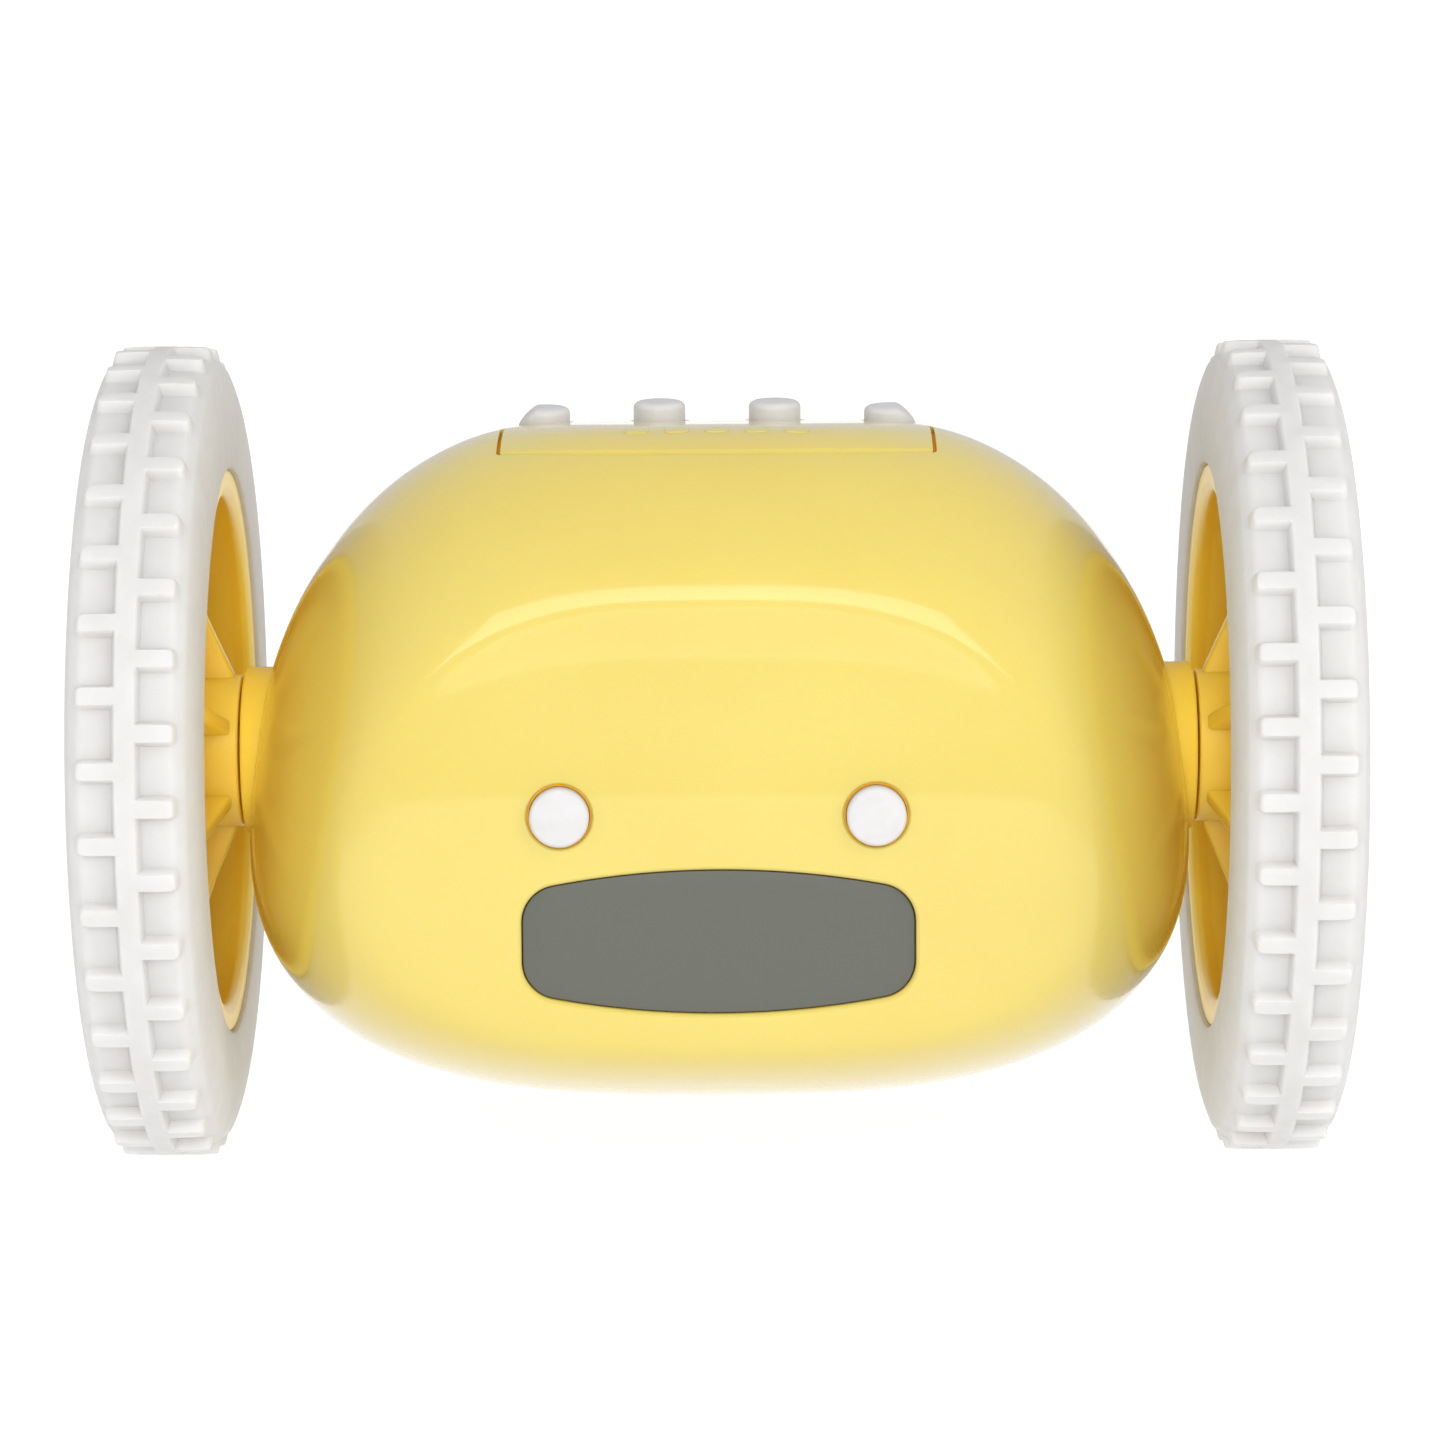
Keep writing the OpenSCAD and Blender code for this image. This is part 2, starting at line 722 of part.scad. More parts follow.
// Short leads from the motors' terminals to the main board
module motor_leads() color("#b03a2e") body_frame()
    for (s = [-1, 1], up = [-1, 1]) translate([s * lead_x, 0, motor_at[1] + up * lead_rise])
        rod_y(lead_r, board_back_y(motor_at[1] + up * lead_rise) + fit, motor_at[0] - motor_flat / 2);

// Flat cable from the main board's back up to the front edge of the top board
module board_ribbon() color("#d9d9d4") along_x(-ribbon_w / 2, ribbon_w) {
    low_z = window_z + board_up - ribbon_lap;
    low = upright([board_back_y(low_z), low_z]);
    high = [top_board_front + ribbon_lap, board_top - board_t];
    polygon([low, low + [ribbon_t, 0], high + [ribbon_t, 0], high]);
}

module top_board() color(board_green) difference() {
    block([-top_board_w / 2, top_board_front, board_top - board_t],
        [top_board_w / 2, top_board_back, board_top]);
    for (s = [-1, 1]) translate([s * top_boss_x, top_boss_y, 0])
        rod_z(small_screw_r + fit, board_top - board_t - past, board_top + past);
}

module switch_z(top) {
    block([-switch_w / 2, -switch_w / 2, board_top], [switch_w / 2, switch_w / 2, board_top + switch_h]);
    rod_z(plunger_r, board_top + switch_h, top);
}

module top_switches() color("#2b2b2b") {
    for (i = [0:3]) at_key(i) switch_z(key_stem_z - travel - fit);
    translate([0, snooze_stem_y, 0]) switch_z(key_stem_z - snooze_drop - fit);
}

// ---- buttons ----

module eye_button(s) color(white) at_eye(s) {
    rod_y(eye_d / 2, -eye_proud, flange_n);
    rod_y(eye_d / 2 + flange_lap, flange_n, flange_n + flange_t);
    rod_y(plunger_r, flange_n + flange_t, eye_stem_n);
}

module top_button(i) color(white) at_key(i) {
    rod_z(plunger_r, key_stem_z, key_flange_z);
    rod_z(key_d / 2 + flange_lap, key_flange_z, key_flange_z + flange_t);
    rod_z(key_d / 2, key_flange_z + flange_t, top_z + key_proud - (i == 0 || i == 3 ? key_step : 0));
}

// Cap cut from the front shell's wall, with two hinge lugs and a stem for its switch
module snooze_bar() color(yellow) {
    root_z = top_z - root_drop;
    intersection() {
        body_frame() front_skin();
        translate([0, 0, hinge_z]) linear_extrude(wheel_r) snooze_outline(0);
    }
    translate([0, snooze_stem_y, 0]) rod_z(plunger_r, key_stem_z, root_z);
    for (s = [-1, 1]) side(s) {
        block([ear_x - lug_gap - lug_t, hinge_y - lug_r, hinge_z - lug_r],
            [ear_x - lug_gap, snooze_depth - snooze_front - root_set, root_z]);
        translate([0, hinge_y, hinge_z]) rod_x(pin_r, ear_x - lug_gap, ear_x + ear_t);
    }
}

// ---- batteries ----

module each_cell() body_frame() for (i = [0, 1], j = [0, 1])
    translate([0, cell_at[0] + i * cell_pitch, cell_at[1] + j * cell_pitch])
        mirror([(i + j) % 2, 0, 0]) children();

module battery_box() color("#2e2f31") body_frame() {
    difference() {
        intersection() {
            union() {
                block([-bay_w / 2 - bay_t, bay_front - bay_t, bay_low - bay_t],
                    [bay_w / 2 + bay_t, body_reach, bay_high + bay_t]);
                translate([0, 0, door_screw_z]) rod_y(door_boss_r, bay_boss_y, body_reach);
            }
            body_core(wall + fit);
        }
        block([-bay_w / 2, bay_front, bay_low], [bay_w / 2, body_reach, bay_high]);
        translate([0, 0, door_screw_z]) rod_y(small_pilot_r, bay_boss_y - past, body_reach);
    }
}

module battery_cells() color("#5c6f8a") each_cell() {
    rod_x(cell_d / 2, -cell_len / 2, cell_len / 2 - nub_len);
    rod_x(nub_r, cell_len / 2 - nub_len, cell_len / 2);
}

// Coil of rings, tapering towards the cell
module battery_springs() color(steel) each_cell()
    for (k = [0:spring_turns - 1]) translate([-cell_len / 2 - spring_wire - k * spring_pitch, 0, 0])
        rotate([0, 90, 0]) rotate_extrude() translate([spring_r + k * spring_taper, 0])
            circle(spring_wire, $fn = 20);

module battery_plates() color(steel) body_frame() for (s = [-1, 1]) side(s)
    block([bay_w / 2 - plate_metal, cell_at[0] - plate_lap, cell_at[1] - plate_lap],
        [bay_w / 2, cell_at[0] + cell_pitch + plate_lap, cell_at[1] + cell_pitch + plate_lap]);

// ---- loudspeaker ----

module at_speaker() body_frame() translate([0, speaker_back, speaker_z]) children();

module speaker_frame() color(steel) at_speaker() difference() {
    union() {
        rod_y(speaker_d / 2, 0, rim_t);
        rod_y(speaker_d / 2 - basket_in, -basket_depth, 0);
    }
    rod_y(speaker_d / 2 - basket_in - metal_t, -basket_depth + metal_t, rim_t + past);
}

module speaker_magnet() color("#4a4c50") at_speaker()
    rod_y(speaker_d / 4, -basket_depth - magnet_t, -basket_depth);

module speaker_cone() color("#1d1e20") at_speaker() rotate([-90, 0, 0]) rotate_extrude() polygon([
    [0, -cone_depth], [cap_r, -cone_depth], [cone_r, 0], [cone_r, metal_t],
    [cap_r, metal_t - cone_depth], [0, metal_t - cone_depth]]);

// ---- motors and gears ----

gap_between = gear_module * (large_teeth + small_teeth) / 2;
motor_far = norm(motor_at);
motor_angle = atan2(motor_at[1], motor_at[0]);
fold = acos(motor_far / 2 / gap_between);
idler_angle = motor_angle - fold;
idler_at = gap_between * [cos(idler_angle), sin(idler_angle)];
last_angle = atan2(motor_at[1] - idler_at[1], motor_at[0] - idler_at[0]);

// Places of the spacer posts, clear of the gears
post_clear = 1.6;
post_far = gear_module * (large_teeth + 2) / 2 + post_r + post_clear;
rear_post_angle = 35;
low_post_angle = -70;
front_post_angle = 100;
posts = [post_far * at_angle(rear_post_angle), post_far * at_angle(low_post_angle),
    idler_at + post_far * at_angle(front_post_angle)];

pressure = 20;
function roll(r, base) = sqrt(pow(r / base, 2) - 1) * 180 / PI;
function unrolled(r, base) = r <= base ? 0 : roll(r, base) - atan(sqrt(pow(r / base, 2) - 1));

// Outline of an involute gear with the middle of a tooth at angle turn
module gear_outline(teeth, turn) {
    pitch_r = gear_module * teeth / 2;
    base_r = pitch_r * cos(pressure);
    tip_r = pitch_r + gear_module * 0.95;
    root_r = pitch_r - gear_module * 1.25;
    half = 90 / teeth - backlash / 4 / pitch_r * 180 / PI + unrolled(pitch_r, base_r);
    start_r = max(root_r, base_r);
    flank = [for (k = [0:flank_steps]) start_r + (tip_r - start_r) * k / flank_steps];
    polygon([for (i = [0:teeth - 1]) each concat(
        [root_r * at_angle(turn + i * 360 / teeth - half)],
        [for (r = flank) r * at_angle(turn + i * 360 / teeth - half + unrolled(r, base_r))],
        [for (k = [0:flank_steps]) let (r = flank[flank_steps - k])
            r * at_angle(turn + i * 360 / teeth + half - unrolled(r, base_r))],
        [root_r * at_angle(turn + i * 360 / teeth + half)])]);
}

function at_angle(a) = [cos(a), sin(a)];

module gear(teeth, turn, x, width) along_x(x, width) gear_outline(teeth, turn);

module motor(s) color(steel) side(s) body_frame() at_yz(motor_at) difference() {
    union() {
        intersection() {
            rod_x(motor_d / 2, motor_face - motor_len, motor_face);
            block([motor_face - motor_len, -motor_flat / 2, -motor_d],
                [motor_face, motor_flat / 2, motor_d]);
        }
        rod_x(nose_r, motor_face, motor_face + plate_t - fit);
    }
    rod_x(shaft_r + run_gap, motor_face - motor_len + past, motor_face + plate_t);
}

module motor_pinion(s) color(brass) side(s) body_frame() at_yz(motor_at) {
    rod_x(shaft_r, motor_face - shaft_in, pinion_x + pinion_w);
    difference() {
        gear(small_teeth, last_angle + 180 + 180 / small_teeth, pinion_x, pinion_w);
        rod_x(shaft_r, pinion_x - past, pinion_x + pinion_w + past);
    }
}

module idler_gear(s) color(white) side(s) body_frame() at_yz(idler_at) difference() {
    union() {
        gear(large_teeth, last_angle, idler_x, large_w);
        gear(small_teeth, idler_angle + 180 + 180 / small_teeth, idler_x + large_w, small_w);
    }
    rod_x(gear_pin_r + run_gap, idler_x - past, idler_x + large_w + small_w + past);
}

module drive_gear(s) color(white) side(s) body_frame() difference() {
    gear(large_teeth, idler_angle, drive_x, drive_w);
    rod_x(axle_r, drive_x - past, drive_x + drive_w + past);
}

module gear_pin(s) color(steel) side(s) body_frame() at_yz(idler_at)
    rod_x(gear_pin_r, motor_face, outer_x + plate_t);

module lobe(p, r) translate(p) circle(r);

// Bar between two points
module bar(a, b, w) translate(a) rotate(atan2(b[1] - a[1], b[0] - a[0]))
    translate([0, -w / 2]) square([norm(b - a), w]);

// Plate that carries the motor, with the posts that space the outer plate
module inner_plate(s) color("#e4e2dc") side(s) body_frame() difference() {
    union() {
        along_x(motor_face, plate_t) union() {
            for (p = [[0, 0], idler_at]) lobe(p, lobe_r);
            lobe(motor_at, motor_flat / 2);
            for (p = [idler_at, motor_at]) bar([0, 0], p, lobe_r);
            for (p = posts) lobe(p, post_lobe_r);
            for (p = posts) bar([0, 0], p, post_lobe_r * 2);
        }
        for (p = posts) at_yz(p) rod_x(post_r, motor_face + plate_t, outer_x);
    }
    rod_x(axle_r + run_gap, motor_face - past, motor_face + plate_t + past);
    at_yz(idler_at) rod_x(gear_pin_r, motor_face - past, motor_face + plate_t + past);
    at_yz(motor_at) rod_x(nose_r + fit, motor_face - past, motor_face + plate_t + past);
    for (p = posts) at_yz(p) rod_x(small_pilot_r, collar_in - small_screw_len - fit, outer_x + past);
}

module outer_plate(s) color("#e4e2dc") side(s) body_frame() difference() {
    along_x(outer_x, plate_t) union() {
        lobe([0, 0], collar_r + collar_lap);
        lobe(idler_at, post_lobe_r);
        bar([0, 0], idler_at, post_lobe_r * 2);
        for (p = posts) lobe(p, post_lobe_r);
        for (p = posts) bar([0, 0], p, post_lobe_r * 2);
    }
    rod_x(axle_r + 2 * fit, outer_x - past, outer_x + plate_t + past);
    at_yz(idler_at) rod_x(gear_pin_r, outer_x - past, outer_x + plate_t + past);
    for (p = posts) at_yz(p) rod_x(small_screw_r + fit, outer_x - past, outer_x + plate_t + past);
}

module gearbox_screws() color(steel) for (s = [-1, 1]) side(s) body_frame() for (p = posts) at_yz(p) {
    rod_x(small_screw_r, collar_in - small_screw_len, collar_in);
    rod_x(small_head_r, collar_in, collar_in + small_head_t);
}

module motor_cradle() color("#e4e2dc") body_frame() {
    front = motor_at[0] + motor_flat / 2 + cradle_gap;
    back = bay_front - bay_t - fit;
    block([-cradle_w / 2, front, bay_low - bay_t],
        [cradle_w / 2, back, motor_at[1] + motor_d / 2 + cradle_gap]);
    for (s = [-1, 1]) {
        z = motor_at[1] + s * (motor_d / 2 + cradle_gap + cradle_t / 2);
        block([-cradle_w / 2, motor_at[0] - motor_flat / 2, z - cradle_t / 2],
            [cradle_w / 2, back, z + cradle_t / 2]);
    }
}

// ---- wheels ----

// Flanged bush that the shells clamp; it carries the axle and stands out of the body
module axle_collar(s) color(yellow) side(s) turned([
    [axle_r + run_gap, collar_in], [collar_r + collar_lap, collar_in],
    [collar_r + collar_lap, collar_in + collar_flange_t], [collar_r, collar_in + collar_flange_t],
    [collar_r, hub_x - hub_gap], [axle_r + run_gap, hub_x - hub_gap]]);

module wheel_axle(s) color(steel) side(s) difference() {
    rod_x(axle_r, motor_face, seat_x);
    block([hub_x, axle_flat, -axle_d], [seat_x + past, axle_d, axle_d]);
    rod_x(small_pilot_r, seat_x - wheel_screw_len, seat_x + past);
}

// Half-section of the rim, outside first
module rim_section() {
    lip_in = hub_x + lip_set;
    lip_out = 2 * wheel_x - lip_in;
    disc_x = lip_in + disc_set;
    barrel_in = rim_r - barrel_t;
    turned([
        [0, hub_x], [hub_r, hub_x], [hub_r, disc_x], [barrel_in, disc_x],
        [barrel_in, lip_in + lip_w / 2], [rim_r - lip_w, lip_in + lip_w / 4],
        [rim_r - lip_w * 3 / 4, lip_in], [rim_r - lip_w / 8, lip_in], [rim_r, lip_in + lip_w / 8],
        [rim_r, wheel_x - ridge_w / 2], [rim_r + ridge_h, wheel_x - ridge_w / 4],
        [rim_r + ridge_h, wheel_x + ridge_w / 4], [rim_r, wheel_x + ridge_w / 2],
        [rim_r, lip_out - lip_w / 8], [rim_r - lip_w / 8, lip_out],
        [rim_r - lip_w * 3 / 4, lip_out], [rim_r - lip_w, lip_out - lip_w / 4],
        [barrel_in, disc_x + disc_t], [cap_r_out + cap_wall, disc_x + disc_t],
        [cap_r_out + cap_wall, lip_out - cap_set], [cap_r_out + fit, lip_out - cap_set],
        [cap_r_out + fit, seat_x], [0, seat_x]]);
}

module rim_web() rotate([90, 0, 0]) translate([0, 0, -web_t / 2]) linear_extrude(web_t) polygon([
    [hub_x + lip_set / 2, hub_r - past], [hub_x + web_step, hub_r + web_reach],
    [hub_x + lip_set + disc_set, rim_r - barrel_t], [hub_x + lip_set + disc_set + past, rim_r - barrel_t],
    [hub_x + lip_set + disc_set + past, hub_r - past]]);

module wheel_rim(s) color(yellow) side(s) difference() {
    union() {
        rim_section();
        for (k = [0:web_count - 1]) rotate([k * 360 / web_count, 0, 0]) rim_web();
    }
    difference() {
        rod_x(axle_r + rim_fit, hub_x - past, seat_x + past);
        block([hub_x - 2 * past, axle_flat + rim_fit, -axle_d], [seat_x + 2 * past, axle_d, axle_d]);
    }
    for (k = [0:web_count - 1]) rotate([(k + 0.5) * 360 / web_count, 0, 0])
        translate([0, 0, dimple_at]) rod_x(dimple_r, seat_x - dimple_t, wheel_x + tyre_w);
}

// Half-width of the tyre at radius r
function tyre_half(r) =
    let (bulge = rim_r + bulge_rise)
    r > bulge ? tyre_w / 2 - (tyre_w - tread_w) / 2 * pow((r - bulge) / (wheel_r - bulge), side_power)
    : tyre_w / 2 - bulge_in * pow((bulge - r) / bulge_rise, 2);

module tyre_section(top) {
    radii = [for (k = [0:tyre_steps]) rim_r + (top - rim_r) * k / tyre_steps];
    turned(concat(
        [for (r = radii) [r, wheel_x - tyre_half(r)]],
        [for (k = [0:tyre_steps]) let (r = radii[tyre_steps - k]) [r, wheel_x + tyre_half(r)]]));
}

// One row of tread ribs as an outline, with the middle of a rib at angle turn
module rib_row(turn) {
    low = wheel_r - 2 * tread_depth;
    high = wheel_r + past;
    half = asin(rib_t / 2 / wheel_r);
    polygon([for (i = [0:rib_count - 1]) let (a = turn + i * 360 / rib_count) each [
        low * at_angle(a - half), high * at_angle(a - half),
        high * at_angle(a + half), low * at_angle(a + half)]]);
}

module tyre(s) color(white) side(s) difference() {
    union() {
        tyre_section(wheel_r - tread_depth);
        intersection() {
            tyre_section(wheel_r);
            union() {
                rod_x(wheel_r + past, wheel_x - band_w / 2, wheel_x + band_w / 2);
                along_x(wheel_x - rib_reach, rib_reach) rib_row(0);
                along_x(wheel_x, rib_reach) rib_row(180 / rib_count);
            }
        }
    }
    turned([
        [rim_r, wheel_x - ridge_w / 2], [rim_r + ridge_h, wheel_x - ridge_w / 4],
        [rim_r + ridge_h, wheel_x + ridge_w / 4], [rim_r, wheel_x + ridge_w / 2], [0, wheel_x + ridge_w / 2],
        [0, wheel_x - ridge_w / 2]]);
}

module wheel_screw(s) color(steel) side(s) {
    rod_x(small_screw_r, seat_x - wheel_screw_len + past, seat_x);
    rod_x(small_head_r, seat_x, seat_x + small_head_t);
}

module hub_cap(s) color(yellow) side(s) {
    cap_x = 2 * wheel_x - hub_x - lip_set - cap_set + cap_rise;
    difference() {
        rod_x(cap_r_out, seat_x, cap_x);
        rod_x(cap_r_out - cap_wall, seat_x - past, cap_x - cap_wall);
    }
}

front_shell();
rear_shell();
battery_door();
door_screw();
shell_screws();
display_lens();
lcd_glass();
lcd_holder();
backlight();
main_board();
board_chips();
eye_switches();
board_screws();
motor_leads();
board_ribbon();
top_board();
top_switches();
snooze_bar();
eye_button(-1);  // eye_button_left
eye_button(1);  // eye_button_right
top_button(0);  // top_button_1
top_button(1);  // top_button_2
top_button(2);  // top_button_3
top_button(3);  // top_button_4
battery_box();
battery_cells();
battery_springs();
battery_plates();
speaker_frame();
speaker_magnet();
speaker_cone();
motor_cradle();
motor(-1);  // motor_left
motor(1);  // motor_right
inner_plate(-1);  // inner_plate_left
inner_plate(1);  // inner_plate_right
outer_plate(-1);  // outer_plate_left
outer_plate(1);  // outer_plate_right
gearbox_screws();
gear_pin(-1);  // gear_pin_left
gear_pin(1);  // gear_pin_right
axle_collar(-1);  // axle_collar_left
axle_collar(1);  // axle_collar_right
motor_pinion(-1);  // motor_pinion_left
motor_pinion(1);  // motor_pinion_right
idler_gear(-1);  // idler_gear_left
idler_gear(1);  // idler_gear_right
drive_gear(-1);  // drive_gear_left
drive_gear(1);  // drive_gear_right
wheel_axle(-1);  // wheel_axle_left
wheel_axle(1);  // wheel_axle_right
wheel_rim(-1);  // wheel_rim_left
wheel_rim(1);  // wheel_rim_right
tyre(-1);  // tyre_left
tyre(1);  // tyre_right
wheel_screw(-1);  // wheel_screw_left
wheel_screw(1);  // wheel_screw_right
hub_cap(-1);  // hub_cap_left
hub_cap(1);  // hub_cap_right
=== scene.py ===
"""Look of the two-wheeled runaway alarm clock.

Smooth shells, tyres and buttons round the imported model, with their finishes, the camera and the light.
"""

import math

import bmesh
import bpy
import numpy as np
from mathutils import Matrix, Vector


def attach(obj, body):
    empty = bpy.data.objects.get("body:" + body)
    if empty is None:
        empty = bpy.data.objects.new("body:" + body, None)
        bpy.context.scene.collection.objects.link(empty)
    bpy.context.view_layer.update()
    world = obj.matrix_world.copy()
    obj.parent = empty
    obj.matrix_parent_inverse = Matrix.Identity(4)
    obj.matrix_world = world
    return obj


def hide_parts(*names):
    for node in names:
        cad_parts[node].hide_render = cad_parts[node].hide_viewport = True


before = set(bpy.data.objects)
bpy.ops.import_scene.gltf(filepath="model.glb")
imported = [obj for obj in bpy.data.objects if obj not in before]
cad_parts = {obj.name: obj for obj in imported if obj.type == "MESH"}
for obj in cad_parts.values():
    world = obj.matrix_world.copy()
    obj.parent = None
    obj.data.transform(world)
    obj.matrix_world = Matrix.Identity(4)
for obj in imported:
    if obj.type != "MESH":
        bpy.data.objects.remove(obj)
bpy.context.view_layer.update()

MM = 0.001

# ---- sizes in millimetres ----
# They follow the part's source, apart from BODY_UP, DECK_DROP, BOW, KEY_PROUD, KEY_STEP and TREAD_DEPTH,
# which were set to the look, and from what only the look has.

BODY_W, BODY_UP, BODY_DOWN, BODY_MID, BODY_REACH = 103, 47.5, 28.6, -9.5, 37.5
ROUND_W, ROUND_HIGH, ROUND_LOW, ROUND_D = 2.95, 2.09, 2.4, 2.2
DECK_DROP, DECK_RISE, DECK_ROUND = 1.7, 0.1, 1.2
DECK_Z = BODY_MID + BODY_UP - DECK_DROP
WALL, SEAM_Y, TONGUE, TONGUE_GAP = 2.2, 4.5, 1.6, 0.15
LEAN, FACE_TILT = math.radians(12.5), math.radians(8.3)
FACE_SET, BROW_ROUND = 30, 3
COVE_DEPTH, COVE_WIDTH, COVE_FROM, COVE_TO = 1.6, 2.4, -6, 12
WINDOW_W, WINDOW_H, WINDOW_Z, WINDOW_CORNER, WINDOW_ARCH = 41.4, 15.4, -20.4, 4, 1.5
LENS_RECESS, LENS_BACK = 0.8, 3.2
EYE_R, EYE_X, EYE_Z, EYE_PROUD = 3.15, 16.6, -7.1, 0.8
TOP_Z = DECK_Z - 0.5
SNOOZE_W, SNOOZE_DEPTH, SNOOZE_FRONT, SNOOZE_GAP, SNOOZE_ROLL = 46.4, 15.3, 12.9, 0.4, 0.9
BOW, BOW_POWER = 4.0, 3.2
KEY_R, KEY_PITCH, KEY_Y, KEY_PROUD, KEY_STEP, KEY_SLOPE = 2.85, 12.67, 6.8, 1.7, 0.6, 1.6
MARK_COUNT, MARK_PITCH, MARK_W, MARK_DEPTH, MARK_Y, MARK_RISE = 5, 4.3, 2.6, 2.0, -7.5, 0.12
BUTTON_GAP, LEDGE_GAP, LEDGE_SET = 0.25, 0.07, 0.7
DOOR_W, DOOR_TOP, DOOR_BOTTOM, DOOR_CORNER, DOOR_SCREW_Z = 49, -0.4, -27.6, 3, -2.6
BOSS_X, BOSS_HEIGHTS = 35.5, (16, -23.5)
SPEAKER_Z, HOLE_PITCH, HOLE_R = 14, 4, 0.9
WHEEL_R, WHEEL_X, RIM_R = 44.45, 60.2, 31
LIP_W, BARREL_T, DISC_SET, DISC_T, LIP_SET = 3.2, 2.6, 7.4, 2.4, 1.6
HUB_R, HUB_X, HUB_GAP, COLLAR_R = 8.35, 52.3, 0.3, 9.2
AXLE_R, CAP_R, CAP_WALL = 2, 7, 1
LIP_IN = HUB_X + LIP_SET
LIP_OUT = 2 * WHEEL_X - LIP_IN
DISC_X = LIP_IN + DISC_SET
SEAT_X = DISC_X + DISC_T
TYRE_W, TREAD_W, BAND_W, TREAD_DEPTH, RIB_COUNT, RIB_T, RIB_REACH = 13.86, 9.2, 2.5, 1.25, 36, 2.2, 5.1
BULGE_RISE, BULGE_IN, SIDE_POWER = 5.4, 0.15, 2.3
TREAD_EDGE, TREAD_CORNER = 0.5, 0.7
CROWN_DROP, CROWN_FROM, CROWN_W = 0.16, 2.5, 2.6
WEB_COUNT, WEB_T = 6, 1.8
DOOR_GAP, COLLAR_GAP = 0.2, 0.1
SLOPE_FROM, SLOPE_POWER = 0.25, 1.4
LEDGE_T, SLIT_W, SLIT_LEN, SLIT_Y = 0.5, 0.7, 11, -3.3
KEY_DROP, SNOOZE_DROP, DOOR_PLANE, SCREW_PLANE = 2, 4, 30, 22
MOUTH_START, MOUTH_PROUD = 18, 3.0
ARC_STEPS = 6
SHARP, TYRE_SHARP = 35, 40  # degrees between two faces that stay an edge
SKIN_NEAR, SKIN_ALIGNED = 0.035, 0.9
SEARCH_REACH, SEARCH_STEPS = 8.0, 36


# ---- shader helpers ----


def srgb(r, g, b):
    """Linear colour of 8-bit sRGB numbers."""
    return [((c / 255 + 0.055) / 1.055) ** 2.4 if c > 10 else c / 255 / 12.92 for c in (r, g, b)]


class Value:
    """A socket of a material, from which further nodes grow."""

    def __init__(self, tree, socket):
        self.tree, self.socket = tree, socket

    def node(self, kind, out=0, inputs=None, **settings):
        """Adds any node; inputs name sockets or give their places, and may be values or numbers."""
        n = self.tree.nodes.new(kind)
        for key, value in settings.items():
            setattr(n, key, value)
        for key, value in (inputs or {}).items():
            if isinstance(value, Value):
                self.tree.links.new(value.socket, n.inputs[key])
            else:
                n.inputs[key].default_value = value
        return Value(self.tree, n.outputs[out])

    def range(self, low, high, to_low=0.0, to_high=1.0):
        return self.node("ShaderNodeMapRange", inputs={0: self, 1: low, 2: high, 3: to_low, 4: to_high})

    def mix(self, first, second):
        """Colour between first and second by this value."""
        ends = {k: v if isinstance(v, Value) else (*v, 1) for k, v in ((6, first), (7, second))}
        return self.node("ShaderNodeMix", out=2, data_type="RGBA", inputs={0: self, **ends})


class Finish:
    """A material with a Principled shader: constants on its own sockets, patterns linked to it."""

    def __init__(self, name, colour, roughness, **constants):
        self.material = bpy.data.materials.new(name)
        self.material.use_nodes = True
        self.tree = self.material.node_tree
        self.shader = self.tree.nodes["Principled BSDF"]
        self.shader.inputs["Base Color"].default_value = (*colour, 1)
        self.shader.inputs["Roughness"].default_value = roughness
        for key, value in constants.items():
            self.shader.inputs[key.replace("_", " ")].default_value = value
        self.colour, self.roughness = colour, roughness
        start = Value(self.tree, None)
        self.place = start.node("ShaderNodeTexCoord", out=3)

    def noise(self, per_mm, detail=3.0, rough=0.5, stretch=(1, 1, 1)):
        spot = self.place.node("ShaderNodeMapping", inputs={0: self.place, 3: tuple(s / MM for s in stretch)})
        inputs = {"Vector": spot, "Scale": per_mm, "Detail": detail, "Roughness": rough}
        return spot.node("ShaderNodeTexNoise", inputs=inputs)

    def cells(self, per_mm, **settings):
        spot = self.place.node("ShaderNodeMapping", inputs={0: self.place, 3: (1 / MM,) * 3})
        return spot.node("ShaderNodeTexVoronoi", inputs={"Vector": spot, "Scale": per_mm}, **settings)

    def link(self, socket, value):
        self.tree.links.new(value.socket, self.shader.inputs[socket])

    def vary(self, value, darker, low=0.35, high=0.65):
        """Blends the colour towards a darker one where the value is low."""
        self.link("Base Color", value.range(low, high).mix(darker, self.colour))

    def wear(self, value, spread):
        """Varies the roughness by a spread to each side."""
        self.link("Roughness", value.range(0.3, 0.7, self.roughness - spread, self.roughness + spread))

    def bump(self, height, depth_mm):
        inputs = {"Height": height, "Distance": depth_mm * MM, "Strength": 1.0}
        self.link("Normal", height.node("ShaderNodeBump", inputs=inputs))


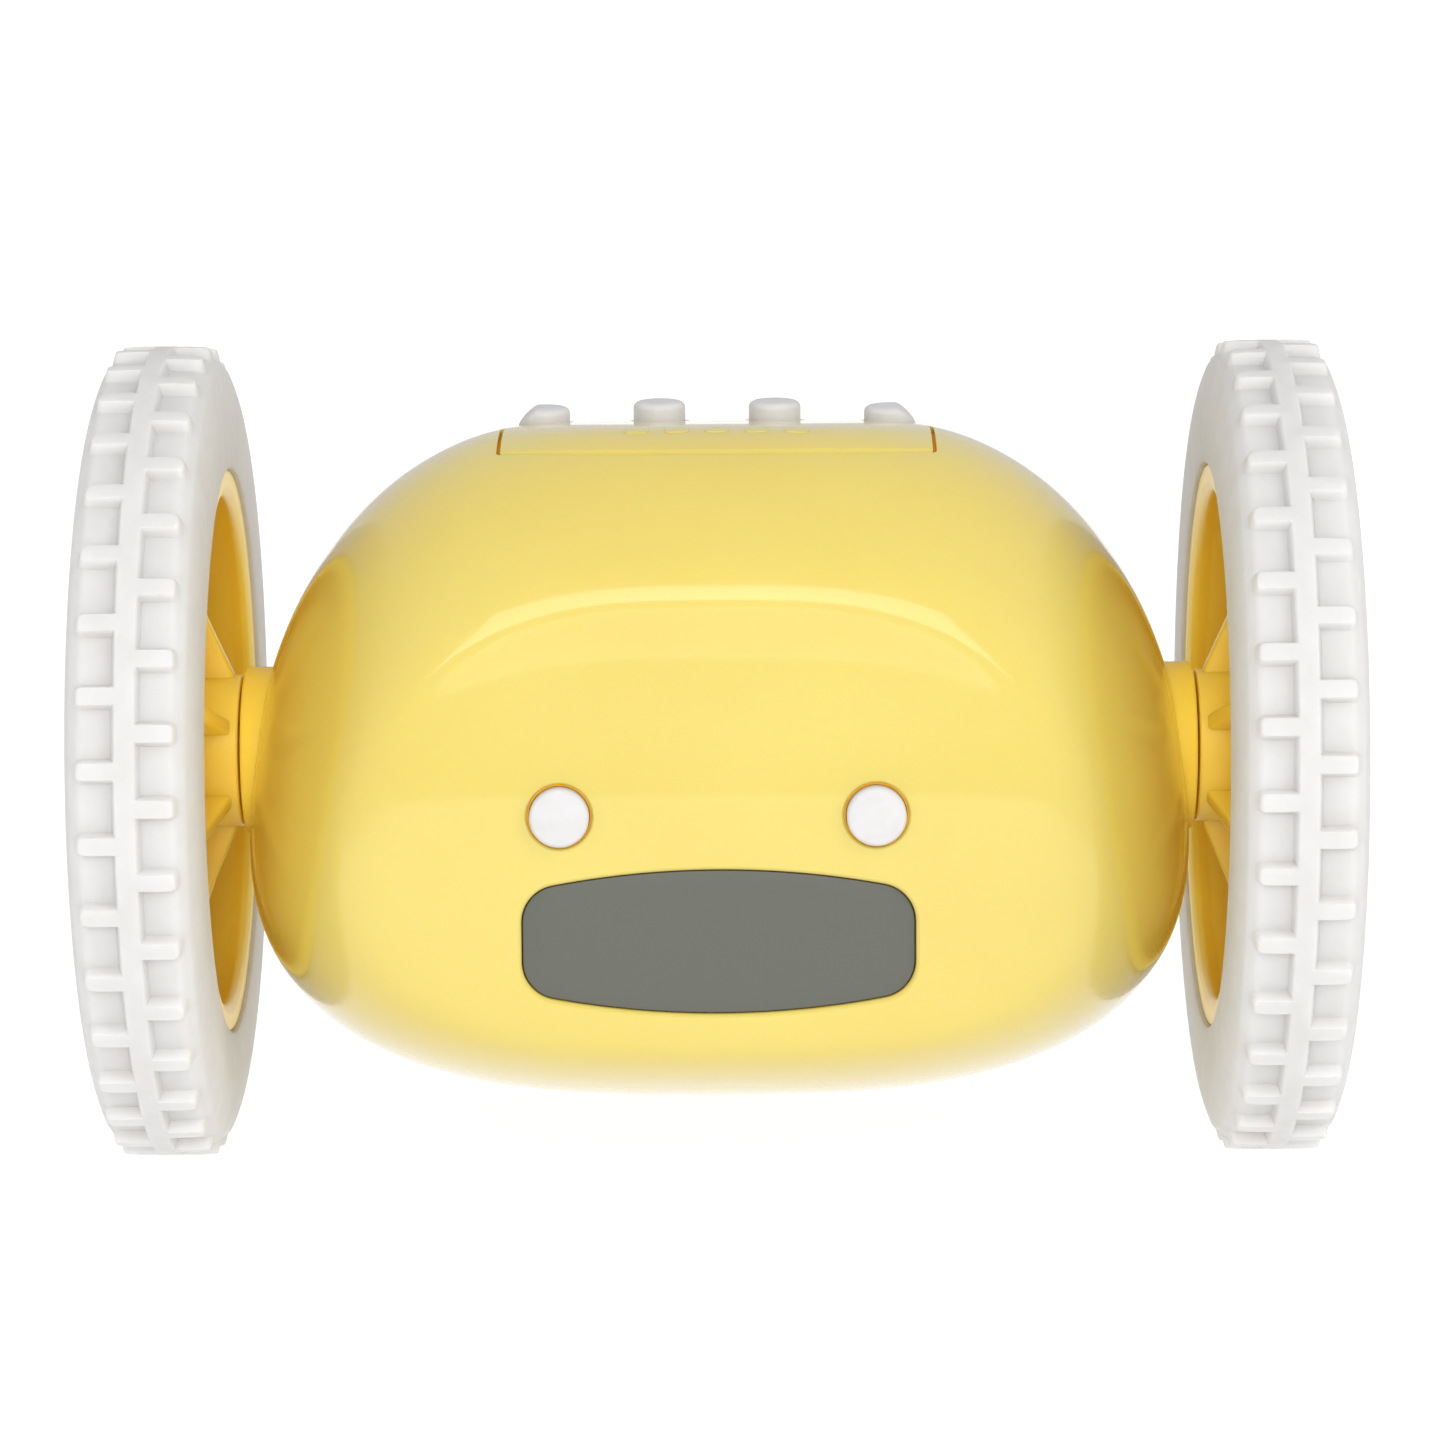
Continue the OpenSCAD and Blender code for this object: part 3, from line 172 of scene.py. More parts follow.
def make_finishes():
    f = {}
    glow = {"Subsurface_Weight": 0.25, "Subsurface_Scale": 0.004, "Subsurface_Radius": (1, 0.55, 0.1)}
    shell = f["body_plastic"] = Finish(
        "gloss_yellow", srgb(211, 191, 92), 0.2, IOR=1.5,
        Coat_Weight=1.0, Coat_IOR=1.5, Coat_Roughness=0.05, **glow)
    shell.vary(shell.noise(0.035, 2), srgb(209, 187, 88), 0.3, 0.7)
    shell.wear(shell.noise(0.35, 4), 0.025)
    shell.bump(shell.noise(1.6, 2, 0.4), 0.004)
    # Painted shade: the unpolished inside of the yellow plastic, coloured a deeper orange for the light that
    # bounces in the narrow gaps; only the gap floors wear it.
    raw = f["raw_plastic_gap_shade"] = Finish("raw_yellow_gap_shade", srgb(238, 168, 30), 0.7, IOR=1.3)
    raw.vary(raw.noise(0.4, 3), srgb(230, 158, 24))
    raw.wear(raw.noise(1, 3), 0.05)
    raw.bump(raw.noise(3, 3), 0.004)
    # Painted light: the shell's yellow plastic with a brighter base colour, to make up for the shade inside
    # the wheels; the satin roughness is its own finish.
    rim = f["rim_plastic"] = Finish(
        "satin_yellow_lit", srgb(255, 219, 76), 0.36, Coat_Weight=0.12, Coat_Roughness=0.2, **glow)
    rim.vary(rim.noise(0.06, 2), srgb(253, 216, 78), 0.3, 0.7)
    rim.wear(rim.noise(0.3, 2), 0.02)
    rim.bump(rim.noise(0.4, 1), 0.0004)
    button = f["button_plastic"] = Finish("button_white", srgb(202, 201, 201), 0.38)
    button.vary(button.noise(0.5, 3), srgb(198, 196, 195))
    button.wear(button.noise(1.4, 4), 0.06)
    button.bump(button.noise(5, 3), 0.006)
    tyre = f["tyre_silicone"] = Finish(
        "silicone_white", srgb(203, 202, 201), 0.56,
        Subsurface_Weight=0.6, Subsurface_Scale=0.006, Subsurface_Radius=(1, 0.95, 0.9))
    dust = tyre.noise(0.22, 5, 0.62)
    tyre.vary(dust, srgb(199, 197, 195), 0.3, 0.62)
    tyre.wear(tyre.noise(0.9, 4), 0.08)
    tyre.bump(tyre.noise(3.2, 4, 0.6), 0.02)
    gear = f["gear_plastic"] = Finish(
        "gear_white", srgb(236, 232, 220), 0.42, Subsurface_Weight=0.05, Subsurface_Scale=0.001)
    gear.vary(gear.noise(0.4, 3), srgb(226, 221, 207))
    gear.wear(gear.noise(1.2, 4), 0.08)
    gear.bump(gear.noise(4, 3), 0.008)
    plate = f["frame_plastic"] = Finish("frame_ivory", srgb(224, 221, 212), 0.5)
    plate.vary(plate.noise(0.2, 3), srgb(214, 210, 199))
    plate.wear(plate.noise(1, 4), 0.08)
    plate.bump(plate.noise(3, 4), 0.015)
    black = f["black_plastic"] = Finish("matt_black", srgb(38, 39, 41), 0.55)
    black.vary(black.noise(0.3, 3), srgb(30, 31, 33))
    black.wear(black.noise(1, 4), 0.1)
    black.bump(black.cells(2.2), 0.02)
    steel = f["steel"] = Finish("plated_steel", srgb(196, 198, 202), 0.3, Metallic=1.0)
    steel.vary(steel.noise(0.8, 4), srgb(176, 178, 182))
    steel.wear(steel.noise(1.5, 5, 0.6, (1, 6, 1)), 0.1)
    steel.bump(steel.noise(4, 4, 0.6, (1, 5, 1)), 0.004)
    brass = f["brass"] = Finish("cut_brass", srgb(214, 178, 92), 0.28, Metallic=1.0)
    brass.vary(brass.noise(0.8, 4), srgb(190, 150, 72))
    brass.wear(brass.noise(2, 4), 0.1)
    brass.bump(brass.noise(5, 4), 0.004)
    board = f["circuit_board"] = Finish("board_green", srgb(38, 92, 58), 0.35, Coat_Weight=0.4)
    board.vary(board.cells(0.35, distance="MANHATTAN"), srgb(52, 116, 74), 0.1, 0.5)
    board.wear(board.noise(1, 3), 0.08)
    board.bump(board.cells(0.6), 0.02)
    glass = f["lens"] = Finish("clear_lens", srgb(96, 97, 88), 0.22, Transmission_Weight=0.15, IOR=1.45)
    glass.wear(glass.noise(0.3, 4), 0.03)
    glass.bump(glass.noise(0.05, 1), 0.0004)
    lcd = f["display"] = Finish("lcd_grey", srgb(111, 112, 99), 0.45)
    lcd.vary(lcd.noise(0.05, 2), srgb(107, 108, 95), 0.3, 0.7)
    lcd.wear(lcd.noise(0.5, 3), 0.05)
    lcd.bump(lcd.noise(0.2, 1), 0.0001)
    milk = f["diffuser"] = Finish(
        "milky_diffuser", srgb(236, 238, 240), 0.5, Subsurface_Weight=0.3, Subsurface_Scale=0.003)
    milk.vary(milk.noise(0.2, 3), srgb(226, 229, 232))
    milk.wear(milk.noise(1, 3), 0.06)
    milk.bump(milk.noise(4, 3), 0.01)
    cell = f["cell_jacket"] = Finish("cell_jacket", srgb(74, 92, 122), 0.3, Metallic=0.6)
    cell.vary(cell.noise(0.3, 3), srgb(60, 74, 100))
    cell.wear(cell.noise(1, 4), 0.08)
    cell.bump(cell.noise(2, 4), 0.01)
    magnet = f["magnet"] = Finish("ferrite", srgb(70, 72, 76), 0.6)
    magnet.vary(magnet.noise(0.8, 5), srgb(52, 54, 58))
    magnet.wear(magnet.noise(2, 4), 0.1)
    magnet.bump(magnet.noise(3, 5), 0.03)
    lead = f["lead_insulation"] = Finish("lead_red", srgb(170, 48, 38), 0.5)
    lead.vary(lead.noise(0.8, 3), srgb(150, 38, 30))
    lead.wear(lead.noise(2, 3), 0.08)
    lead.bump(lead.noise(4, 3), 0.01)
    ribbon = f["ribbon"] = Finish("ribbon_grey", srgb(214, 214, 208), 0.5)
    ribbon.vary(ribbon.noise(0.4, 3, 0.5, (8, 0.3, 0.3)), srgb(186, 186, 180))
    ribbon.wear(ribbon.noise(2, 3), 0.06)
    ribbon.bump(ribbon.noise(0.9, 1, 0.5, (4, 0.1, 0.1)), 0.08)
    return {name: finish.material for name, finish in f.items()}


FINISH = make_finishes()


# ---- mesh helpers ----


def grid_faces(rows, columns, wrap_rows=False, wrap_columns=True):
    """Quads of a grid of rows by columns of points."""
    down, across = rows if wrap_rows else rows - 1, columns if wrap_columns else columns - 1
    i, j = np.meshgrid(np.arange(down), np.arange(across), indexing="ij")
    a, b = i * columns + j, i * columns + (j + 1) % columns
    c, d = ((i + 1) % rows) * columns + (j + 1) % columns, ((i + 1) % rows) * columns + j
    return np.stack([a, b, c, d], -1).reshape(-1, 4).tolist()


def tidy_mesh(mesh, merge=1e-7):
    """Merges doubled points and turns every face outwards."""
    bm = bmesh.new()
    bm.from_mesh(mesh)
    bmesh.ops.remove_doubles(bm, verts=bm.verts, dist=merge)
    bmesh.ops.dissolve_degenerate(bm, edges=bm.edges, dist=1e-8)
    bmesh.ops.recalc_face_normals(bm, faces=bm.faces)
    bm.to_mesh(mesh)
    bm.free()


def new_object(name, points, faces, finish="body_plastic"):
    """Object from points in millimetres, smooth but for edges sharper than an angle."""
    mesh = bpy.data.meshes.new(name)
    mesh.from_pydata((np.asarray(points, float) * MM).tolist(), [], faces)
    tidy_mesh(mesh)
    mesh.materials.append(FINISH[finish])
    smooth(mesh, SHARP)
    obj = bpy.data.objects.new(name, mesh)
    bpy.context.scene.collection.objects.link(obj)
    return obj


def smooth(mesh, sharp):
    mesh.shade_smooth()
    mesh.set_sharp_from_angle(angle=math.radians(sharp))


def moved(points, matrix):
    points = np.asarray(points, float)
    m = np.array(matrix)
    return points @ m[:3, :3].T + m[:3, 3]


def bake(obj, sharp=None):
    """Applies the object's modifiers to its mesh."""
    depsgraph = bpy.context.evaluated_depsgraph_get()
    mesh = bpy.data.meshes.new_from_object(obj.evaluated_get(depsgraph))
    mesh.name = obj.name
    obj.modifiers.clear()
    obj.data = mesh
    if sharp:
        smooth(mesh, sharp)


def boolean(obj, tool):
    """Cuts the tool from the object; the tool goes."""
    m = obj.modifiers.new("cut", "BOOLEAN")
    m.operation, m.object, m.solver = "DIFFERENCE", tool, "MANIFOLD"
    bake(obj)
    bpy.data.objects.remove(tool, do_unlink=True)


def joined(name, objects):
    """One object of several; the others go."""
    bm = bmesh.new()
    for o in objects:
        bm.from_mesh(o.data)
    mesh = bpy.data.meshes.new(name)
    bm.to_mesh(mesh)
    bm.free()
    mesh.materials.append(objects[0].data.materials[0])
    out = bpy.data.objects.new(name, mesh)
    bpy.context.scene.collection.objects.link(out)
    for o in objects:
        bpy.data.objects.remove(o, do_unlink=True)
    return out


def place(obj, body, slot, *nodes):
    """Puts a finished piece on its body, in place of the CAD nodes it stands for."""
    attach(obj, body)
    if nodes:
        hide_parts(*nodes)


def rounded_path(corners, closed=True):
    """Outline through (a, b, radius) corners, with an arc at each corner that has a radius."""
    out, n = [], len(corners)
    for i, (a, b, radius) in enumerate(corners):
        p = Vector((a, b))
        if not radius or (not closed and i in (0, n - 1)):
            out.append((a, b))
            continue
        back, on = Vector(corners[i - 1][:2]) - p, Vector(corners[(i + 1) % n][:2]) - p
        reach = 0.49 * min(back.length, on.length)
        back.normalize()
        on.normalize()
        half = back.angle(on) / 2
        cut = min(radius / math.tan(half), reach)
        centre = p + (back + on).normalized() * (cut / math.cos(half))
        first, last = p + back * cut - centre, p + on * cut - centre
        turn = math.atan2(first.x * last.y - first.y * last.x, first.dot(last))
        for k in range(ARC_STEPS + 1):
            out.append(tuple(centre + Matrix.Rotation(turn * k / ARC_STEPS, 2) @ first))
    return out


def revolve(name, outline, finish="body_plastic", steps=96, matrix=Matrix(), closed=False):
    """Turns an outline of (radius, height) points about the height axis, which is +z of the matrix."""
    outline = np.asarray(outline, float)
    angle = np.linspace(0, 2 * math.pi, steps, endpoint=False)
    points = np.stack([
        outline[:, None, 0] * np.cos(angle), outline[:, None, 0] * np.sin(angle),
        np.broadcast_to(outline[:, None, 1], (len(outline), steps))], -1).reshape(-1, 3)
    return new_object(name, moved(points, matrix), grid_faces(len(outline), steps, wrap_rows=closed), finish)


def repeat_round(obj, count, finish, sharp=SHARP, merge=0.0):
    """Repeats the object's mesh about the x axis with Geometry Nodes, and applies it."""
    tree = bpy.data.node_groups.new("repeat_round", "GeometryNodeTree")
    tree.interface.new_socket("Geometry", in_out="INPUT", socket_type="NodeSocketGeometry")
    number = tree.interface.new_socket("Count", in_out="INPUT", socket_type="NodeSocketInt")
    distance = tree.interface.new_socket("Merge", in_out="INPUT", socket_type="NodeSocketFloat")
    tree.interface.new_socket("Geometry", in_out="OUTPUT", socket_type="NodeSocketGeometry")
    node = tree.nodes.new
    given, result = node("NodeGroupInput"), node("NodeGroupOutput")
    line, index = node("GeometryNodeMeshLine"), node("GeometryNodeInputIndex")
    turn, whole = node("ShaderNodeMath"), node("ShaderNodeMath")
    vector, spin = node("ShaderNodeCombineXYZ"), node("FunctionNodeEulerToRotation")
    put, real = node("GeometryNodeInstanceOnPoints"), node("GeometryNodeRealizeInstances")
    merge_node, paint = node("GeometryNodeMergeByDistance"), node("GeometryNodeSetMaterial")
    turn.operation, whole.operation = "DIVIDE", "MULTIPLY"
    turn.inputs[0].default_value = 2 * math.pi
    line.inputs["Offset"].default_value = (0, 0, 0)
    paint.inputs["Material"].default_value = FINISH[finish]
    link = tree.links.new
    link(given.outputs["Count"], line.inputs["Count"])
    link(given.outputs["Count"], turn.inputs[1])
    link(turn.outputs[0], whole.inputs[0])
    link(index.outputs[0], whole.inputs[1])
    link(whole.outputs[0], vector.inputs["X"])
    link(vector.outputs[0], spin.inputs[0])
    link(line.outputs[0], put.inputs["Points"])
    link(given.outputs["Geometry"], put.inputs["Instance"])
    link(spin.outputs[0], put.inputs["Rotation"])
    link(put.outputs[0], real.inputs[0])
    link(real.outputs[0], merge_node.inputs[0])
    link(given.outputs["Merge"], merge_node.inputs["Distance"])
    link(merge_node.outputs[0], paint.inputs[0])
    link(paint.outputs[0], result.inputs[0])
    m = obj.modifiers.new("repeat", "NODES")
    m.node_group = tree
    m[number.identifier] = count
    m[distance.identifier] = merge
    bake(obj, sharp)


# ---- the body's form ----

BODY = Matrix.Rotation(-LEAN, 4, "X")
FACE_Y = -FACE_SET - WINDOW_Z * math.tan(FACE_TILT)
FACE = BODY @ Matrix.Translation((0, FACE_Y, WINDOW_Z)) @ Matrix.Rotation(FACE_TILT, 4, "X")
EYE_UP = (EYE_Z - WINDOW_Z) / math.cos(FACE_TILT)


def reach_z(z, inset=0):
    return np.where(z < 0, BODY_DOWN, BODY_UP) - inset


def round_h(z):
    return np.where(z < 0, ROUND_LOW, ROUND_HIGH)


def outwards(x, z):
    """1 where the egg is widest and highest, less within."""
    rise = z - BODY_MID
    return (np.abs(x) / (BODY_W / 2)) ** ROUND_W + (np.abs(rise) / reach_z(rise)) ** round_h(rise)


def half_depth(x, z):
    return BODY_REACH * np.maximum(0, 1 - outwards(x, z)) ** (1 / ROUND_D)


def decked(y, z, inset=0):
    """Height z of the egg after the flat on its top has taken its share."""
    deck = DECK_Z + DECK_RISE * y - inset
    return (z + deck - np.sqrt((z - deck) ** 2 + DECK_ROUND**2)) / 2


def undecked(y, z):
    """The egg's height where the surface has height z, and the rate between the two."""
    room = np.maximum(DECK_Z + DECK_RISE * y - z, 1e-4)
    return z + DECK_ROUND**2 / 4 / room, 1 + DECK_ROUND**2 / 4 / room**2


def face_plane(z):
    return -FACE_SET - z * math.tan(FACE_TILT)


def cove(below, z):
    """How far the face dips behind the crest, and its slopes, at a depth below the egg's surface."""
    share = np.clip((z - COVE_FROM) / (COVE_TO - COVE_FROM), 0, 1)
    fade, fade_slope = share**2 * (3 - 2 * share), 6 * share * (1 - share) / (COVE_TO - COVE_FROM)
    u = np.maximum(below, 0)
    rise = u * u / (u * u + COVE_WIDTH**2)
    slope = 2 * u * COVE_WIDTH**2 / (u * u + COVE_WIDTH**2) ** 2
    return COVE_DEPTH * fade * rise, COVE_DEPTH * fade * slope, COVE_DEPTH * fade_slope * rise


def front_y(y, z, inset=0):
    flat = face_plane(z) + inset
    soft = (y + flat + np.sqrt((y - flat) ** 2 + BROW_ROUND**2)) / 2 + cove(flat - y, z)[0]
    return np.where(y > 0, y, soft)


def body_points(depths, insets, around):
    """Rings of the body's surface: one row for each depth."""
    t = np.linspace(0, 2 * math.pi, around, endpoint=False)[None, :]
    y, inset = np.asarray(depths, float)[:, None], np.asarray(insets, float)[:, None]
    share = np.maximum(0, 1 - np.minimum(1, np.abs(y) / (BODY_REACH - inset)) ** ROUND_D)
    half_w = np.sign(np.cos(t)) * (BODY_W / 2 - inset)
    x = half_w * share ** (1 / ROUND_W) * np.abs(np.cos(t)) ** (2 / ROUND_W)
    rise = reach_z(np.sin(t), inset) * (share * np.sin(t) ** 2) ** (1 / round_h(np.sin(t)))
    z = decked(y, BODY_MID + np.sign(np.sin(t)) * rise, inset)
    return np.stack([x, front_y(y + 0 * x, z, inset), z], -1)


def skin_depths(inset, plane, steps):
    reach = BODY_REACH - inset
    return reach * np.cos(math.acos(plane / reach) * np.arange(1, steps + 1) / steps)


def skin(name, rings, first, last, around):
    """Closed skin through (depth, inset) rings, from a pole to a pole."""
    rows = body_points([r[0] for r in rings], [r[1] for r in rings], around)
    mid = np.array(BODY_MID)
    ends = [np.array([0, front_y(np.array(float(y)), mid, inset), BODY_MID]) for y, inset in (first, last)]
    points = np.concatenate([rows.reshape(-1, 3), ends])
    n = len(rings) * around
    faces = grid_faces(len(rings), around)
    faces += [[n, i, (i + 1) % around] for i in range(around)]
    faces += [[n + 1, n - around + (i + 1) % around, n - around + i] for i in range(around)]
    return new_object(name, moved(points, BODY), faces)


def is_inside(points):
    """Whether points of the ground's frame lie in the body's solid."""
    x, y, z = moved(points, BODY.inverted()).T
    egg_z, _ = undecked(y, z)
    depth = half_depth(x, egg_z)
    return (outwards(x, egg_z) < 1) & (y < depth) & ((y > 0) | (y > front_y(-depth, z)))


def body_normals(points):
    """(unit normals, distances from the surface) of points of the ground's frame near the body."""
    x, y, z = moved(points, BODY.inverted()).T
    egg_z, rate = undecked(y, z)
    rise = egg_z - BODY_MID
    high, power = reach_z(rise), round_h(rise)
    ex = ROUND_W * np.abs(x / (BODY_W / 2)) ** (ROUND_W - 1) * np.sign(x) / (BODY_W / 2)
    ez = power * np.abs(rise / high) ** (power - 1) * np.sign(rise) / high * rate
    ey = ROUND_D * np.abs(y / BODY_REACH) ** (ROUND_D - 1) * np.sign(y) / BODY_REACH
    deck_y = ez * (1 / rate - 1) * DECK_RISE
    rear = np.stack([ex, ey + deck_y, ez], -1)
    rear_gap = (outwards(x, egg_z) + np.abs(y / BODY_REACH) ** ROUND_D - 1) / np.linalg.norm(rear, axis=-1)
    egg_y = -half_depth(x, egg_z)
    q = ROUND_D * np.abs(egg_y / BODY_REACH) ** (ROUND_D - 1) / BODY_REACH
    flat = face_plane(z)
    share = (1 + (egg_y - flat) / np.sqrt((egg_y - flat) ** 2 + BROW_ROUND**2)) / 2
    _, dip_u, dip_z = cove(flat - egg_y, z)
    flat_slope = -math.tan(FACE_TILT)
    front = np.stack([
        (share - dip_u) * ex, deck_y - q,
        (share - dip_u) * ez + ((1 - share + dip_u) * flat_slope + dip_z) * q], -1)
    front_gap = (y - front_y(egg_y, z)) * q / np.linalg.norm(front, axis=-1)
    normal = np.where((y > 0)[:, None], rear, front)
    normal /= np.linalg.norm(normal, axis=-1)[:, None]
    return normal @ np.array(BODY)[:3, :3].T, np.where(y > 0, rear_gap, front_gap)


def true_normals(obj):
    """Gives the faces on the body's outer surface the normals of its formula."""
    mesh = obj.data
    smooth(mesh, SHARP)
    count = len(mesh.vertices)
    points = np.empty(count * 3)
    mesh.vertices.foreach_get("co", points)
    points = points.reshape(-1, 3) / MM
    centres, flats = np.empty(len(mesh.polygons) * 3), np.empty(len(mesh.polygons) * 3)
    mesh.polygons.foreach_get("center", centres)
    mesh.polygons.foreach_get("normal", flats)
    totals = np.empty(len(mesh.polygons), int)
    mesh.polygons.foreach_get("loop_total", totals)
    corner_vertex = np.empty(len(mesh.loops), int)
    mesh.loops.foreach_get("vertex_index", corner_vertex)
    normals = np.empty(len(mesh.loops) * 3)
    mesh.corner_normals.foreach_get("vector", normals)
    normals = normals.reshape(-1, 3)
    face_true, face_gap = body_normals(centres.reshape(-1, 3) / MM)
    on_skin = (np.abs(face_gap) < SKIN_NEAR) & ((face_true * flats.reshape(-1, 3)).sum(-1) > SKIN_ALIGNED)
    point_true, _ = body_normals(points)
    corner = np.repeat(on_skin, totals)
    normals[corner] = point_true[corner_vertex[corner]]
    mesh.normals_split_custom_set(normals.tolist())


def surface_w(matrix, uv):
    """Height along the matrix's z axis where the body's surface is met, at each (u, v)."""
    uv = np.asarray(uv, float)
    a, b = np.full(len(uv), -SEARCH_REACH), np.full(len(uv), SEARCH_REACH)
    for _ in range(SEARCH_STEPS):
        mid = (a + b) / 2
        inside = is_inside(moved(np.column_stack([uv, mid]), matrix))
        a, b = np.where(inside, mid, a), np.where(inside, b, mid)
    return (a + b) / 2


def disc(radius, steps=72):
    angle = np.linspace(0, 2 * math.pi, steps, endpoint=False)
    return lambda grow: np.stack([(radius + grow) * np.cos(angle), (radius + grow) * np.sin(angle)], -1)


def box_outline(w, h, corner, spacing=0.8):
    """Rounded rectangle about the origin, as a function of how far it is grown."""

    def at(grow):
        r = max(corner + grow, 0.02)
        out = []
        for sx, sy, start in ((1, 1, 0), (-1, 1, 90), (-1, -1, 180), (1, -1, 270)):
            centre = np.array([sx * (w / 2 - corner), sy * (h / 2 - corner)])
            for k in range(9):
                a = math.radians(start + 90 * k / 8)
                out.append(centre + r * np.array([math.cos(a), math.sin(a)]))
            across = w if start in (0, 180) else h
            n = max(2, int(across / spacing))
            step = {0: (-1, 0), 90: (0, -1), 180: (1, 0), 270: (0, 1)}[start]
            begin = out[-1]
            out += [begin + np.array(step) * (across - 2 * corner) * k / n for k in range(1, n)]
        return np.array(out)

    return at


def window_outline(grow):
    """Barrel with round corners, as the part's source draws it."""
    c, w, h = WINDOW_CORNER, WINDOW_W / 2 - WINDOW_CORNER, WINDOW_H / 2
    arc = (w * w + WINDOW_ARCH**2) / (2 * WINDOW_ARCH)
    rise = math.sqrt((arc - c) ** 2 - w * w)
    corner_z, bend = h - arc + rise, math.atan2(rise, w)

    def arc_points(centre, radius, angles):
        return [np.array(centre) + (radius + grow) * np.array([math.cos(a), math.sin(a)]) for a in angles]

    quarter = arc_points([w, corner_z], c, np.linspace(0, bend, 16))
    quarter += arc_points([0, h - arc], arc, np.linspace(bend, math.pi / 2, 26)[1:])
    quarter = np.array(quarter)
    half = np.concatenate([quarter, (quarter * [-1, 1])[::-1][1:]])
    side = [half[-1] * [1, k] for k in np.linspace(1, -1, 8)[1:-1]]
    low = (half * [1, -1])[::-1]
    return np.concatenate([half, side, low, [low[-1] * [1, k] for k in np.linspace(1, -1, 8)[1:-1]]])


def snooze_outline(grow):
    """The bar from above: square at the rear, its front edge bowed backwards towards its ends."""
    corner = 0.5
    x, rear = SNOOZE_W / 2 - corner, SNOOZE_DEPTH - SNOOZE_FRONT - corner
    share = np.linspace(-1, 1, 61)
    bowed = corner - SNOOZE_FRONT + BOW * np.abs(share) ** BOW_POWER
    slope = BOW * BOW_POWER / x * np.abs(share) ** (BOW_POWER - 1) * np.sign(share)
    out = (corner + grow) / np.hypot(1, slope)
    front_edge = np.stack([share * x + out * slope, bowed - out], -1)
    front, turn = bowed[0], math.degrees(math.atan(slope[-1]))

    def arc(cx, cy, radius, start, end, steps):
        a = np.radians(np.linspace(start, end, steps))
        return np.stack([cx + (radius + grow) * np.cos(a), cy + (radius + grow) * np.sin(a)], -1)

    def between(a, b, steps):
        return a + (b - a) * np.linspace(0, 1, steps + 1)[1:-1, None]

    corners = [
        arc(x, rear, corner, 0, 90, 9), arc(-x, rear, corner, 90, 180, 9),
        arc(-x, front, corner, 180, 270 - turn, 9), arc(x, front, corner, 270 + turn, 360, 9)]
    return np.concatenate([
        corners[0], between(corners[0][-1], corners[1][0], 58), corners[1],
        between(corners[1][-1], corners[2][0], 14), corners[2],
        front_edge[1:-1], corners[3],
        between(corners[3][-1], corners[0][0], 14)])


def snooze_roll(x, y):
    """How far the bar's top has rolled down towards its front edge."""
    behind = y + SNOOZE_FRONT - BOW * np.abs(2 * x / SNOOZE_W) ** BOW_POWER
    left = np.clip(1 - behind / SNOOZE_ROLL, 0, 1)
    return SNOOZE_ROLL * (1 - np.sqrt(1 - left**2))


def mouth(name, outline, matrix, edge, depth):
    """Cutter through the body's skin, whose rounded mouth follows the surface."""
    rows = [(edge * (1 - math.sin(math.radians(MOUTH_START))) + 0.05, -MOUTH_PROUD)]
    for a in np.linspace(MOUTH_START, 90, 5):
        a = math.radians(a)
        rows.append((edge * (1 - math.sin(a)), edge * (1 - math.cos(a))))
    layers = []
    for grow, down in rows:
        uv = outline(grow)
        level = surface_w(matrix, uv)
        layers.append(np.column_stack([uv, level - down]))
    layers.append(np.column_stack([outline(0), level - depth]))
    n = len(layers[0])
    points = np.concatenate(layers)
    faces = grid_faces(len(layers), n) + [list(range(n)), list(range(len(points) - n, len(points)))]
    return new_object(name, moved(points, matrix), faces)


def plug(
        name, outline, matrix, edge, depth,
        rings=18, drop=0.0, centre=(0, 0), flat=None, bias=1.0, roll=None):
    """Solid whose outer face follows the body's surface inside an outline, with a rounded edge."""
    centre = np.array(centre, float)

    def row(uv, down):
        level = surface_w(matrix, uv) if flat is None else np.full(len(uv), flat)
        return np.column_stack([uv, level - down - drop])

    inner = outline(-edge)
    layers = [row(centre + (inner - centre) * (1 - (1 - k / rings) ** bias), 0) for k in range(1, rings + 1)]
    for a in np.linspace(0, 90, 6)[1:]:
        a = math.radians(a)
        layers.append(row(outline(-edge * (1 - math.sin(a))), edge * (1 - math.cos(a))))
    if roll:
        for layer in layers:
            layer[:, 2] -= roll(layer[:, 0], layer[:, 1])
    layers.append(row(outline(0), depth))
    n = len(inner)
    points = np.concatenate([*layers, row(centre[None, :], 0)])
    last = len(points) - 1
    faces = grid_faces(len(layers), n) + [[last, (i + 1) % n, i] for i in range(n)]
    faces += [list(range(last - n, last))]
    return new_object(name, moved(points, matrix), faces)


OUT_FRONT = FACE @ Matrix.Rotation(math.pi / 2, 4, "X")
OUT_REAR = BODY @ Matrix.Rotation(-math.pi / 2, 4, "X")
OUT_TOP = Matrix.Translation((0, 0, TOP_Z - SNOOZE_DROP))
OUT_DOOR = OUT_REAR @ Matrix.Translation((0, 0, DOOR_PLANE))
OUT_SCREW = OUT_REAR @ Matrix.Translation((0, 0, SCREW_PLANE))
SNOOZE_MID = SNOOZE_DEPTH / 2 - SNOOZE_FRONT
DOOR_MID = -(DOOR_TOP + DOOR_BOTTOM) / 2


def shift(outline, u, v):
    return lambda grow: outline(grow) + [u, v]


def key_at(i):
    return Matrix.Translation(((i - 1.5) * KEY_PITCH, KEY_Y, TOP_Z - KEY_DROP))


def eye_at(side):
    return OUT_FRONT @ Matrix.Translation((side * EYE_X, EYE_UP, 0))


def rod_x(name, radius, start, end):
    outline = [(0, start), (radius, start), (radius, end), (0, end)]
    return revolve(name, outline, steps=128, matrix=Matrix.Rotation(math.pi / 2, 4, "Y"))


